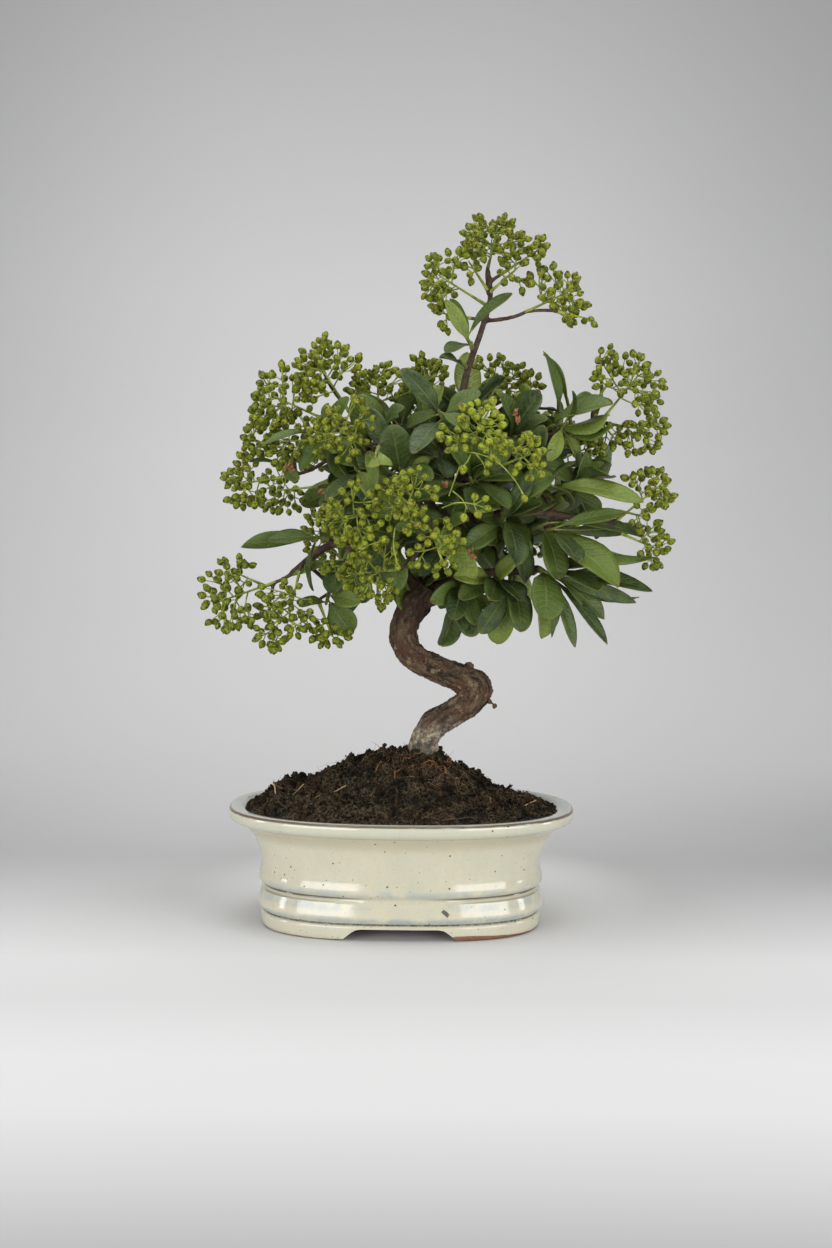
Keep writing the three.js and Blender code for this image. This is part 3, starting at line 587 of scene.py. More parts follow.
def lump_height(x, y, z):
    """Height that clods and crumbs add to the heap at a place."""
    clods = noise.fractal(Vector((x, y, z)) / 6, 0.7, 2.1, 4, noise_basis="PERLIN_ORIGINAL")
    crumbs = noise.fractal(Vector((x, y, z + 90)) / 2.4, 0.6, 2.2, 3, noise_basis="PERLIN_ORIGINAL")
    return 2.7 * clods + 2.1 * crumbs


def soil_surface(x, y):
    base = soil_height(x, y)
    rough = 1 - 0.6 * edge_share(x, y) ** 12
    return base + rough * lump_height(x, y, base)


def soil_mesh():
    rings = [(SOIL_RADIUS * (i / SOIL_RINGS), 0) for i in range(SOIL_RINGS + 1)]
    floor = [(SOIL_RADIUS - 3, -SOIL_DEPTH), (0, -SOIL_DEPTH)]
    bm = spun(rings + floor, SOIL_STEPS, rise=SOIL_EDGE_HEIGHT)
    for vert in bm.verts:
        if vert.co.z > -1:
            vert.co.z = soil_surface(vert.co.x, vert.co.y)
        else:
            vert.co.z += SOIL_EDGE_HEIGHT - 1
    return bm


soil_bm = soil_mesh()
print("soil points:", len(soil_bm.verts), "top:", round(max(vert.co.z for vert in soil_bm.verts), 1))

# %% [markdown]
# Compost is nearly black where it is damp and browner where it has dried. Green algae and moss grow in a
# ring where the trunk enters it.

# %% Soil finish
TRUNK_FOOT = Vector((10, 0, 84))


def soil_finish():
    recipe = Recipe("heaped_compost")
    here = recipe.millimetres()
    patches = recipe.noise(here, 11, detail=4, roughness=0.65)
    crumbs = recipe.noise(here, 1.5, detail=5, roughness=0.75)
    threads = recipe.noise(recipe.millimetres((0.35, 1, 1)), 1.1, detail=4, roughness=0.7, warp=1.2)
    damp = recipe.noise(here, 8, detail=4, roughness=0.6)
    near = recipe.distance(here, TRUNK_FOOT)
    moss = near.step(15, 8.5) * recipe.noise(here, 2.4, detail=3).step(0.42, 0.62)
    colour = layered(
        crumbs.step(0.42, 0.6).mix((10, 9, 7), (94, 82, 63)),
        (threads.step(0.56, 0.64) * 0.85, (124, 108, 82)),
        (damp.step(0.46, 0.6) * 0.75, (9, 9, 7)),
        (patches.step(0.5, 0.64) * crumbs.step(0.4, 0.62) * 0.55, (96, 70, 46)),
        (moss * 0.8, (56, 66, 22)),
    )
    grit = recipe.noise(here, 0.55, detail=4, roughness=0.7)
    normal = recipe.bump(grit, 0.7, recipe.bump(crumbs, 1.8))
    return recipe.surface(Base_Color=colour, Roughness=0.95, Specular_IOR_Level=0.15, Normal=normal)


def plain_finish(name, low, high, size, roughness, relief=0.1):
    """A finish that wanders between two colours, with a little relief of the same size."""
    recipe = Recipe(name)
    here = recipe.millimetres()
    wander = recipe.noise(here, size, detail=3, roughness=0.6)
    normal = recipe.bump(wander, relief)
    colour = wander.step(0.3, 0.7).mix(low, high)
    return recipe.surface(Base_Color=colour, Roughness=roughness, Normal=normal)


SOIL_MATERIALS = [
    soil_finish(),
    plain_finish("root_fibre", (56, 42, 28), (150, 120, 82), 5, 0.75),
    plain_finish("straw", (150, 118, 80), (204, 174, 128), 5, 0.6),
    plain_finish("dark_root", (16, 12, 8), (52, 40, 27), 4, 0.85),
    plain_finish("living_root", (96, 61, 35), (152, 100, 58), 4, 0.7),
]
FIBRE, STRAW, DARK_ROOT, LIVING_ROOT = range(1, 5)
print("soil materials:", [material.name for material in SOIL_MATERIALS])

# %% [markdown]
# Loose crumbs lie on the heap, because a displaced sheet alone never shows gaps and overhangs. A few
# knobbly crumbs are made once, and each copy gets its own size, turn and flatness.

# %% Crumbs on the soil
CRUMBS = {"count": 2500, "smallest": 0.4, "largest": 1.4, "detail": 1}
CLODS = {"count": 400, "smallest": 1.0, "largest": 2.4, "detail": 2}


def crumb_template(seed, detail):
    """A knobbly crumb one millimetre in radius."""
    bm = bmesh.new()
    bmesh.ops.create_icosphere(bm, subdivisions=detail, radius=1)
    for vert in bm.verts:
        vert.co *= 1 + 1.1 * noise.noise(vert.co * 2.1 + Vector((seed * 7.1, 0, 0)))
    return mesh_of(bm, "crumb")


def add_copy(bm, template, matrix, **values):
    """A transformed copy of a template mesh in a bmesh, with its own float values on its points."""
    copy = template.copy()
    copy.transform(matrix)
    for name, value in values.items():
        layer = copy.attributes.get(name) or copy.attributes.new(name, "FLOAT", "POINT")
        layer.data.foreach_set("value", [value] * len(copy.vertices))
    bm.from_mesh(copy)
    bpy.data.meshes.remove(copy)


def random_place_on_soil(draw, reach=0.97):
    """A place spread evenly over the oval of the soil."""
    angle = 2 * math.pi * draw()
    radius = SOIL_RADIUS * reach * math.sqrt(draw())
    x, y = radius * math.cos(angle), radius * math.sin(angle)
    stretch = oval_stretch(x, y) if radius > 1e-3 else 1
    return x * stretch, y * stretch * OVAL_DEPTH


def turned(draw):
    """A random turn in space."""
    axis = jitter(draw).normalized()
    return Matrix.Rotation(2 * math.pi * draw(), 4, axis)


def scatter_crumbs(bm, count, smallest, largest, detail, draw):
    templates = [crumb_template(seed, detail) for seed in range(5)]
    for i in range(count):
        x, y = random_place_on_soil(draw)
        size = smallest + (largest - smallest) * draw() ** 3
        flat = Matrix.Diagonal((1, 0.55 + 0.4 * draw(), 0.45 + 0.5 * draw(), 1))
        place = Vector((x, y, soil_surface(x, y) + 0.3 * size))
        matrix = Matrix.Translation(place) @ turned(draw) @ Matrix.Scale(size, 4) @ flat
        add_copy(bm, templates[i % len(templates)], matrix)


scatter_crumbs(soil_bm, draw=draws(31), **CRUMBS)
scatter_crumbs(soil_bm, draw=draws(37), **CLODS)
print("soil points with crumbs:", len(soil_bm.verts))

# %% [markdown]
# Tubes of every kind, from a root fibre to a limb, start as a curve with a round bevel, because a curve
# takes a radius for each point. The result is turned into a mesh and joined with the rest of its piece.


# %% Tubes from curves
def add_tubes(bm, lines, resolution, material_index=0):
    """Adds a closed tube for each line, which is a list of places with a radius each."""
    curve = bpy.data.curves.new("tubes", "CURVE")
    curve.dimensions = "3D"
    curve.bevel_depth = 1
    curve.bevel_resolution = resolution
    curve.use_fill_caps = True
    for line in lines:
        spline = curve.splines.new("POLY")
        spline.points.add(len(line) - 1)
        for point, (place, radius) in zip(spline.points, line):
            point.co = (*place, 1)
            point.radius = radius
    holder = bpy.data.objects.new("tubes", curve)
    mesh = bpy.data.meshes.new_from_object(holder)
    bpy.data.objects.remove(holder)
    first = len(bm.faces)
    bm.from_mesh(mesh)
    bm.faces.ensure_lookup_table()
    for face in bm.faces[first:]:
        face.material_index = material_index
        face.smooth = True


def curled_line(start, heading, length, steps, curl, draw):
    """Places along a line that wanders away from its heading."""
    places = [start]
    heading = heading.normalized()
    for _ in range(steps):
        heading = (heading + jitter(draw) * curl).normalized()
        places.append(places[-1] + heading * (length / steps))
    return places


def lay_on_soil(places, lift):
    """Keeps a line's places a little above the soil."""
    laid = []
    for place in places:
        ground = soil_surface(place.x, place.y) + lift
        laid.append(Vector((place.x, place.y, max(ground, place.z * 0.3 + ground * 0.7))))
    return laid


FIBRES = {"count": 330, "seed": 47, "longest": 15, "thickest": 0.2, "rise": 0.5}
STRANDS = {"count": 90, "seed": 59, "longest": 34, "thickest": 0.17, "rise": 0.3}
HAIRS = {"count": 420, "seed": 61, "longest": 7, "thickest": 0.13, "rise": 1.4, "standing": True}


def fibre_lines(count, seed, longest, thickest, rise, standing=False):
    """Thin curled lines that start in the soil and run over it, or stand up from it."""
    draw = draws(seed)
    steps = 4 if standing else 7
    lines = []
    for i in range(count):
        x, y = random_place_on_soil(draw, 0.9)
        if i % 4 == 0:
            x, y = 14 + 34 * (draw() - 0.5), -17 + 22 * (draw() - 0.5)
        angle = 2 * math.pi * draw()
        start = Vector((x, y, soil_surface(x, y)))
        heading = Vector((math.cos(angle), math.sin(angle), rise * (0.3 + draw())))
        length = longest * (0.2 + 0.8 * draw() ** 2)
        places = curled_line(start, heading, length, steps, 0.8, draw)
        places = places if standing else lay_on_soil(places, 0.25)
        places[0].z -= 1.2
        radius = thickest * (0.45 + 0.55 * draw() ** 2)
        lines.append([(place, radius * (1 - 0.5 * k / steps)) for k, place in enumerate(places)])
    return lines


STRAW_RADIUS = 0.27
STRAWS = [(-61, -20, 100, 13), (-52, -27, 65, 11), (-42, -31, 40, 11), (-33, -31, 30, 8),
          (-27, -17, 110, 10), (-66, 3, 95, 7), (40, -31, 150, 8), (58, -17, 20, 9), (24, -22, 60, 6),
          (-3, 33, 40, 9), (52, 24, 75, 8)]


def straw_lines():
    """Short dry straws. Each row gives the place, the heading in degrees and the length."""
    draw = draws(53)
    lines = []
    for x, y, heading, length in STRAWS:
        angle = math.radians(heading)
        start = Vector((x, y, soil_surface(x, y) - 0.4))
        lean = Vector((math.cos(angle), math.sin(angle), 0.35))
        places = curled_line(start, lean, length, 3, 0.12, draw)
        lines.append([(place, STRAW_RADIUS) for place in places])
    return lines


ROOTS = [(4, -12, 250, 13), (6, -9, 320, 16), (9, -13, 290, 12), (14, -12, 300, 15),
         (17, -10, 250, 12), (-2, -8, 215, 16), (18, -7, 345, 18), (22, -16, 270, 9), (12, -18, 30, 10),
         (0, -19, 260, 10)]


def root_lines():
    """The tree's own thin roots, which come out of the soil near the trunk and go in again."""
    draw = draws(71)
    lines = []
    for x, y, degrees, length in ROOTS:
        angle = math.radians(degrees)
        start = Vector((x, y, soil_surface(x, y)))
        heading = Vector((math.cos(angle), math.sin(angle), 0.1))
        places = curled_line(start, heading, length, 9, 0.9, draw)
        places = lay_on_soil(places, 0.5)
        places[0].z -= 1.5
        places[-1].z -= 1.5
        lines.append([(place, STRAW_RADIUS) for place in places])
    return lines


add_tubes(soil_bm, fibre_lines(**FIBRES), 0, FIBRE)
add_tubes(soil_bm, fibre_lines(**STRANDS), 0, FIBRE)
add_tubes(soil_bm, fibre_lines(**HAIRS), 0, DARK_ROOT)
add_tubes(soil_bm, straw_lines(), 0, STRAW)
add_tubes(soil_bm, root_lines(), 0, LIVING_ROOT)
soil = finish_piece("compost_heap", soil_bm, SOIL_MATERIALS, ["soil"])
print("soil faces:", len(soil.data.polygons))

# %% [markdown]
# The trunk and the limbs grew as one. Each is a smooth line through a few places, with a width that tapers,
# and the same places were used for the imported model. The lines are Catmull-Rom curves, whose spans are
# spaced by the square root of the distance between places, so that they never loop.

# %% Lines of the tree
TRUNK_PLACES = [
    (10, 0, 60), (10, 0, 72), (10, 0, 83), (11.5, 0, 90.5), (17, -1, 97.5), (26, -2, 103.5), (34, -3, 109.5),
    (35.8, -3, 115), (29, -2, 119.8), (19, -1, 123.5), (9, 1, 128), (2, 2, 134), (0, 3, 142), (2.2, 3, 150),
    (7, 2, 157.5), (12.5, 1, 165),
]
TRUNK_RADII = [7.4, 7.4, 7.3, 7, 6.7, 6.8, 7.6, 7.9, 7.2, 6.6, 6.6, 7, 7.2, 7.2, 7.4, 6.2]
LIMB_STEP = 17
LIMBS = [
    (4.4, 1.2, [(11, 1, 160), (17, 4, 178), (21, 5, 198), (22, 2, 218), (25, 0, 242), (30, 0, 270),
                (37, -1, 291), (41, -2, 307), (39.6, -3, 319)]),
    (2.8, 1.8, [(20, 4, 194), (5, 2, 216), (-15, -2, 232), (-33, -5, 243)]),
    (3.4, 1.9, [(10, 1, 160), (-5, -2, 177), (-20, -6, 187), (-36, -11, 185), (-54, -16, 171)]),
    (2.4, 1.6, [(4, 3, 152), (-3, 3, 158), (-6, 4, 164)]),
    (3, 2.4, [(9, 2, 156), (15, -2, 158), (20, -5, 160)]),
    (1.7, 0.9, [(36, -3, 113), (40, -4, 114), (44, -5, 114)]),
    (3.6, 1.9, [(12, 1, 162), (30, -3, 170), (50, -9, 173), (64, -13, 173)]),
    (2.7, 1.7, [(19, 5, 188), (38, -4, 199), (58, -13, 202), (80, -17, 200), (100, -18, 196)]),
    (2.7, 1.7, [(21, 3, 208), (42, -2, 228), (66, -7, 238), (95, -10, 246)]),
    (2.4, 1.8, [(17, 3, 176), (15, -16, 188), (12, -38, 193)]),
    (2.3, 1.7, [(21, 3, 206), (27, -15, 220), (30, -33, 228)]),
    (2.8, 1.8, [(18, 4, 184), (2, 26, 200), (-22, 44, 212)]),
    (2.8, 1.8, [(21, 5, 198), (38, 26, 214), (58, 44, 226)]),
    (3, 1.8, [(13, 2, 163), (14, 26, 177), (15, 46, 188), (15, 60, 198)]),
    (2.2, 1.7, [(22, 2, 222), (20, 18, 240), (16, 38, 252)]),
]


def smooth_curve(places, samples=24):
    """Close places on a centripetal Catmull-Rom curve through the given ones."""
    points = [Vector(place) for place in places]
    points = [2 * points[0] - points[1], *points, 2 * points[-1] - points[-2]]
    line = []
    for a, b, c, d in zip(points, points[1:], points[2:], points[3:]):
        gaps = [max((q - p).length, 1e-4) ** 0.5 for p, q in ((a, b), (b, c), (c, d))]
        out = ((b - a) / gaps[0] - (c - a) / (gaps[0] + gaps[1]) + (c - b) / gaps[1]) * gaps[1]
        into = ((c - b) / gaps[1] - (d - b) / (gaps[1] + gaps[2]) + (d - c) / gaps[2]) * gaps[1]
        square, cube = 3 * (c - b) - 2 * out - into, 2 * (b - c) + out + into
        for t in [i / samples for i in range(samples)]:
            line.append(b + out * t + square * t**2 + cube * t**3)
    return line + [points[-2]]


def spaced(line, count):
    """A line as count equal steps along its length."""
    runs = [0]
    for start, end in zip(line, line[1:]):
        runs.append(runs[-1] + (end - start).length)
    places, k = [], 0
    for i in range(count + 1):
        run = runs[-1] * i / count
        while k < len(runs) - 2 and runs[k + 1] < run:
            k += 1
        share = (run - runs[k]) / max(runs[k + 1] - runs[k], 1e-9)
        places.append(line[k].lerp(line[k + 1], min(1, share)))
    return places, runs[-1]


def limb_line(start, end, places, step):
    """A limb's places at about the given step, with its radius at each."""
    curve = smooth_curve(places)
    length = spaced(curve, 1)[1]
    count = max(2, round(length / step))
    spots = spaced(curve, count)[0]
    return [(spot, start + (end - start) * (i / count) ** 0.6) for i, spot in enumerate(spots)]


limb_lines = [limb_line(*limb, LIMB_STEP) for limb in LIMBS]
print("limbs:", len(limb_lines), "places:", sum(len(line) for line in limb_lines))

# %% [markdown]
# The berries stand in corymbs, flat-topped heads at the ends of short side shoots. The leaves stand in
# tufts. Both lists name the place where the shoot leaves the wood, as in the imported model, so that each
# finer piece can take the place of its node.

# %% Heads and shoots
HEADS = [
    ("top_crown", (39.6, -3, 321), (43, -4, 335), 19),
    ("top_left", (38, -3, 303), (16, -6, 316), 15),
    ("top_right", (58, -6, 299), (77, -8, 308), 17),
    ("up_left_high", (-28, -5, 251), (-41, -8, 271), 18),
    ("up_left", (-39, -7, 246), (-64, -10, 257), 19),
    ("up_left_mid", (-13, 6, 250), (-14, 6, 266), 17),
    ("left", (-37, -12, 236), (-58, -15, 235), 17),
    ("left_front", (-19, -26, 232), (-31, -42, 240), 17),
    ("left_small", (-54, -10, 219), (-80, -12, 214), 14),
    ("low_left_end", (-62, -18, 167), (-87, -20, 158), 18),
    ("low_left_mid", (-50, -22, 172), (-54, -30, 152), 18),
    ("front_left", (-8, -36, 200), (-27, -54, 199), 18),
    ("front", (10, -44, 198), (-1, -64, 208), 16),
    ("front_low_left", (-4, -34, 174), (-17, -50, 173), 16),
    ("front_low", (15, -44, 188), (16, -62, 184), 13),
    ("front_up", (31, -37, 230), (34, -57, 240), 17),
    ("front_right", (42, -36, 222), (57, -55, 228), 12),
    ("top_back_right", (38, 20, 252), (50, 30, 272), 15),
    ("top_back_left", (16, 16, 250), (9, 28, 273), 13),
    ("up_right_high", (97, -10, 249), (112, -12, 268), 18),
    ("up_right_low", (99, -12, 245), (117, -17, 242), 14),
    ("right_behind", (76, 14, 228), (90, 20, 234), 14),
    ("far_right", (103, -19, 199), (121, -21, 214), 13),
    ("far_right_low", (105, -21, 192), (121, -25, 185), 12),
    ("back_left_high", (-26, 42, 226), (-44, 54, 240), 16),
    ("back_left_low", (-22, 40, 194), (-44, 52, 188), 15),
    ("back_top", (15, 40, 254), (11, 56, 266), 15),
    ("back_middle", (15, 63, 201), (16, 77, 213), 16),
    ("back_right_high", (60, 46, 228), (78, 60, 244), 16),
    ("back_right_low", (58, 40, 196), (82, 52, 190), 15),
    ("left_behind", (-44, 22, 214), (-66, 32, 212), 14),
]
SHOOTS = [
    ("top", (32, -8, 282), (29, -13, 286),
     [(19, -18, 278, 8), (21, -12, 304, 8), (51, -12, 307, 8)]),
    ("tall_leaf", (73, -8, 245), (77, -12, 251),
     [(67, -6, 280, 8), (99, -22, 254, 11), (95, 2, 265, 8), (63, -2, 261, 7)]),
    ("up_right", (74, -16, 241), (76, -23, 244),
     [(98, -32, 238, 11, 180), (90, -14, 227, 7), (68, -30, 226, 7), (79, -34, 259, 7, 20)]),
    ("top_middle", (51, -2, 237), (54, -8, 243),
     [(60, -14, 262, 16), (45, -18, 262, 11), (71, -6, 256, 11), (37, -4, 264, 9), (66, -26, 236, 9)]),
    ("centre_left", (19, -30, 243), (16, -38, 249),
     [(-2, -36, 268, 10), (4, -54, 228, 11, 20), (31, -36, 263, 9), (-3, -30, 249, 8), (33, -54, 238, 7)]),
    ("centre_dark", (-1, -26, 216), (-2, -37, 222),
     [(-6, -42, 242, 15), (-20, -32, 253, 10), (-13, -52, 226, 9, 180), (-10, -52, 205, 9),
      (13, -56, 216, 10)]),
    ("left_inner", (-19, -24, 218), (-23, -34, 222),
     [(-36, -42, 233, 8), (-36, -48, 206, 8), (-15, -56, 207, 8), (-29, -26, 242, 8)]),
    ("left_pair", (-37, -16, 188), (-42, -21, 189),
     [(-78, -22, 184, 8, 110), (-61, -4, 187, 8), (-51, -28, 165, 8, 60)]),
    ("low_left", (-36, -16, 162), (-37, -22, 157),
     [(-20, -32, 162, 9), (-24, -30, 148, 13), (-49, -34, 159, 7)]),
    ("centre_low", (17, -30, 188), (16, -44, 192),
     [(-1, -56, 186, 13), (30, -54, 171, 10), (12, -58, 174, 9), (30, -58, 198, 9), (3, -60, 202, 8)]),
    ("low_near_trunk", (26, 2, 163), (25, -4, 158),
     [(19, -8, 136, 14), (30, -4, 143, 9), (13, -14, 167, 10), (46, -4, 155, 7)]),
    ("low_middle", (52, -12, 170), (51, -19, 165),
     [(56, -30, 145, 13), (52, -18, 137, 12), (39, -20, 142, 10)]),
    ("right_fan", (66, -16, 175), (69, -24, 173),
     [(67, -38, 151, 16), (82, -34, 149, 13), (93, -26, 144, 7), (108, -26, 149, 7, 30),
      (119, -28, 159, 8, 150), (96, -14, 178, 8)]),
    ("right_low_arch", (68, -16, 193), (71, -26, 194),
     [(117, -38, 175, 15, 150), (81, -46, 179, 13), (106, -18, 198, 7), (118, -4, 196, 7, 180)]),
    ("right_arch", (67, -14, 214), (70, -24, 215),
     [(113, -34, 207, 11), (79, -32, 228, 7), (89, -14, 205, 7)]),
    ("centre_right", (47, -16, 201), (47, -28, 195),
     [(53, -42, 177, 13), (65, -32, 204, 9), (61, -34, 171, 11), (35, -44, 184, 10), (58, -36, 217, 9)]),
    ("centre_middle", (33, -22, 214), (31, -36, 218),
     [(26, -58, 201, 11), (9, -52, 206, 10), (44, -52, 222, 9), (53, -44, 225, 8), (22, -48, 232, 8)]),
    ("up_left_inner", (-34, -14, 240), (-38, -22, 236),
     [(-49, -30, 220, 9), (-68, -26, 224, 6), (-27, -24, 256, 8), (-41, -34, 250, 7)]),
    ("back_left", (-18, 35, 212), (-28, 46, 219), []),
    ("back_left_low", (-10, 30, 184), (-24, 46, 178), []),
    ("back_middle_low", (14, 42, 180), (13, 56, 176), []),
    ("back_middle_up", (27, 26, 246), (34, 42, 254), []),
    ("back_right", (45, 30, 220), (60, 38, 234), []),
    ("back_right_low", (42, 24, 184), (62, 38, 178), []),
    ("back_deep", (12, 50, 199), (6, 60, 212), []),
    ("right_side", (70, 6, 214), (90, 14, 214), []),
]
RULED_LEAVES = 4
print("heads:", len(HEADS), "shoots:", len(SHOOTS))

# %% [markdown]
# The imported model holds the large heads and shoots. The plant also has small heads that fill the space
# between them, and broad leaves that lie against the crown's face. The last number of a leaf turns its
# face, in degrees.

# %% Smaller heads and shoots
MORE_HEADS = [
    ("top_inner_right", (41, -4, 309), (53, -10, 319), 10),
    ("top_inner_left", (39, -5, 310), (30, -12, 322), 8),
    ("top_right_up", (47, -4, 318), (64, -6, 329), 9),
    ("top_left_low", (31, -4, 296), (16, -8, 298), 9),
    ("top_right_end", (74, -7, 299), (87, -9, 296), 7),
    ("left_middle", (-59, -10, 232), (-73, -12, 235), 11),
    ("low_left_up", (-69, -16, 166), (-80, -18, 171), 8),
    ("low_left_under", (-64, -22, 152), (-62, -28, 139), 9),
    ("low_left_hanging", (-40, -20, 156), (-34, -24, 142), 11),
    ("low_left_inner", (-26, -24, 181), (-30, -34, 170), 10),
    ("right_inner_low", (92, -12, 249), (100, -16, 239), 10),
    ("right_inner", (93, -13, 257), (99, -18, 267), 8),
    ("right_top_left", (95, -9, 266), (94, -10, 278), 7),
    ("far_right_middle", (104, -19, 203), (117, -22, 200), 9),
    ("top_back_far_right", (54, 12, 260), (64, 16, 265), 8),
    ("up_left_top", (-40, -5, 270), (-44, -6, 281.5), 8),
    ("low_front_hanging", (-12, -34, 170), (-12, -40, 160), 8),
]
MORE_SHOOTS = [
    ("right_fan_front", (67, -14, 173), (73, -22, 172),
     [(117, -30, 159, 9.5), (107, -26, 150, 6.7), (87, -34, 152, 12.8), (92, -22, 145, 9.6),
      (71, -20, 141, 2.9)]),
    ("right_wide", (63, -12, 194), (69, -22, 197),
     [(111, -30, 177, 18.1), (80, -36, 179, 12.8), (116, -14, 198, 7.8)]),
    ("right_pale", (67, -12, 241), (72, -18, 244),
     [(98, -24, 257, 13.4), (99, -22, 238, 14.4, 180)]),
    ("tall_pair", (81, -2, 245), (80, -4, 253),
     [(67, -9, 279, 11.7), (95, -12, 259, 8.8)]),
    ("top_round", (51, -14, 234), (53, -22, 238),
     [(62, -26, 260, 18.2), (45, -22, 259, 11.5), (68, -24, 247, 11.5)]),
    ("low_round", (21, -8, 164), (22, -12, 160),
     [(18, -16, 138, 13.1), (30, -18, 145, 8.2)]),
    ("low_left_dark", (-27, -14, 182), (-29, -20, 178),
     [(-34, -26, 162, 11.5), (-15, -26, 160, 11.5), (-50, -18, 163, 4.8)]),
    ("left_dark", (-10, -12, 236), (-11, -18, 240),
     [(-23, -24, 255, 11.5), (0, -24, 251, 11.5)]),
    ("grey_heart", (-10, -26, 209), (-10, -34, 213),
     [(-16, -40, 228, 9.4), (2, -38, 221, 8.5)]),
    ("limb_cover_right", (45, -8, 171), (45, -16, 168),
     [(27, -26, 160, 10), (37, -30, 155, 12), (57, -32, 163, 11), (24, -28, 171, 9), (62, -30, 173, 9)]),
    ("limb_cover_left", (29, -4, 168), (28, -13, 166),
     [(13, -28, 159, 10), (20, -27, 150, 11), (40, -28, 150, 11)]),
    ("left_tiny", (-56, -8, 223), (-60, -12, 223),
     [(-75, -16, 225, 4.8), (-51, -18, 216, 5.8)]),
    ("pale_heart", (-12, -46, 231), (-13, -52, 228),
     [(-11.4, -58, 215.5, 11, 180), (-14, -58, 211, 5.5)]),
    ("top_pale", (31.6, -19, 280.2), (31.3, -24, 282.2),
     [(18.6, -31, 301.2, 6.8, -60)]),
    ("top_foot_dark", (28.8, -16, 271.5), (27.9, -19, 272.5),
     [(18.6, -23, 278, 10.5)]),
]
INNER_CENTRE = Vector((22, 8, 212))
INNER_REACH = (62, 42, 46)
INNER_COUNT = 52


def inner_feet():
    """Feet and ends of the small shoots that fill the inside of the crown, by rule."""
    draw = draws(900)
    for k in range(INNER_COUNT):
        height = 1 - 2 * (k + 0.5) / INNER_COUNT
        flat = math.sqrt(1 - height**2)
        out = Vector((flat * math.cos(k * GOLDEN_ANGLE), flat * math.sin(k * GOLDEN_ANGLE), height))
        reach = 0.35 + 0.6 * draw()
        foot = INNER_CENTRE + Vector([a * b * reach for a, b in zip(out, INNER_REACH)])
        yield "inner", foot, foot + (out + Vector((0, 0, 0.25))).normalized() * (6 + 4 * draw())


inner_shoots = list(inner_feet())
print("smaller heads:", len(MORE_HEADS), "more shoots:", len(MORE_SHOOTS), "inner shoots:", len(inner_shoots))

# %% [markdown]
# Every head and shoot is carried by a woody twig. It leaves the nearest limb, and arrives in line with the
# green stalk that it carries, so it is drawn as a bent line with one handle.

# %% Twigs that carry the heads and shoots
THICK_TWIG = 1.3
TWIG_RADIUS = 1.05


def across(along):
    """A direction at right angles to another."""
    helper = Vector((0, 0, 1)) if abs(along.z) < 0.9 else Vector((1, 0, 0))
    return helper.cross(along).normalized()


def directions_round(along):
    """A function that gives the direction at an angle round a line, at right angles to it."""
    side = across(along)
    other = along.cross(side)
    return lambda angle: side * math.cos(angle) + other * math.sin(angle)


def bent_line(start, handle, end, steps):
    """Places on a line that leaves start towards handle and arrives from it at end."""
    shares = [i / steps for i in range(steps + 1)]
    return [start * (1 - t) ** 2 + handle * 2 * t * (1 - t) + end * t**2 for t in shares]


def twig_line(foot, away, carriers):
    """The woody twig from one of the carrying lines to the foot of a shoot or head."""
    best = None
    for line in carriers:
        for k, ((place, _), (following, radius)) in enumerate(zip(line[1:], line[2:])):
            middle = place.lerp(following, 0.5)
            cost = 1.2 * (middle - foot).length + 0.8 * (k + 1)
            if best is None or cost < best[0]:
                best = (cost, middle, min(radius, THICK_TWIG))
    _, start, thick = best
    reach = (start - foot).length
    straight = foot - away * min(0.45 * reach, 2.4)
    places = bent_line(start, foot - away * 0.4 * reach, straight, 8) + [foot, foot + away * 0.6]
    last = len(places) - 1
    return [(place, thick + (TWIG_RADIUS - thick) * i / last) for i, place in enumerate(places)]


def feet(rows):
    for row in rows:
        foot, end = Vector(row[1]), Vector(row[2])
        yield foot, (end - foot).normalized()


twig_lines = [twig_line(foot, away, limb_lines) for foot, away in feet(HEADS + SHOOTS)]
carriers = limb_lines + twig_lines
small_feet = feet(MORE_HEADS + MORE_SHOOTS + inner_shoots)
twig_lines += [twig_line(foot, away, carriers) for foot, away in small_feet]
print("twigs:", len(twig_lines))

# %% [markdown]
# The tubes of the trunk, limbs and twigs cross each other where they join. A voxel remesh melts them into
# one skin with soft crotches, as wood grows. Bark then needs to know which way the wood runs, so each point
# of the skin looks up the nearest place on those lines. Its run along the wood and its offset from the
# middle line are kept as an attribute, for the relief here and for the bark's finish.

# %% Skin of the wood
VOXEL = 0.665
TRUNK_SAMPLES = 8
BURRS = [
    ((12, -3, 100.5), 4.2, 1.5), ((31.5, -3, 124), 2.6, 1.2), ((4, -5, 153), 4, 0.9),
    ((8.5, -5, 88), 4, 1.2), ((33, -8, 117), 5, 0.8), ((-3, -3, 147), 4, 0.6), ((14, -7, 126), 4, 0.7),
    ((24, -8, 103), 4, 0.8), ((9, -6, 158), 4, 0.8), ((3, -4, 131), 3, 0.7), ((5.8, -6, 95.6), 2, 1.8),
    ((11, -7, 100.5), 1.7, 1.9), ((32.5, -6, 126), 2, 1.3), ((24, -7, 124), 2.4, 0.9),
    ((3.4, -5, 88.5), 2.4, 1.5), ((18.6, -6, 91.3), 2.2, 1.4), ((-5, -3, 140), 2.4, 0.8),
    ((4.5, -3, 93.5), 2.6, 1.6), ((13, -7, 91), 1.8, 1.1), ((16, -7, 97), 2, 1.1),
]
STUBS = [
    [((38, -5, 110), 1.8), ((42.2, -6.4, 109.4), 1.2), ((44.2, -7, 108.2), 1),
     ((45.4, -7.2, 106.8), 1.9), ((46.4, -7.2, 105.8), 1.3)],
    [((30, -5, 121), 1.8), ((32.6, -7, 126.4), 1.2), ((33.2, -7.4, 127.8), 0.8)],
]


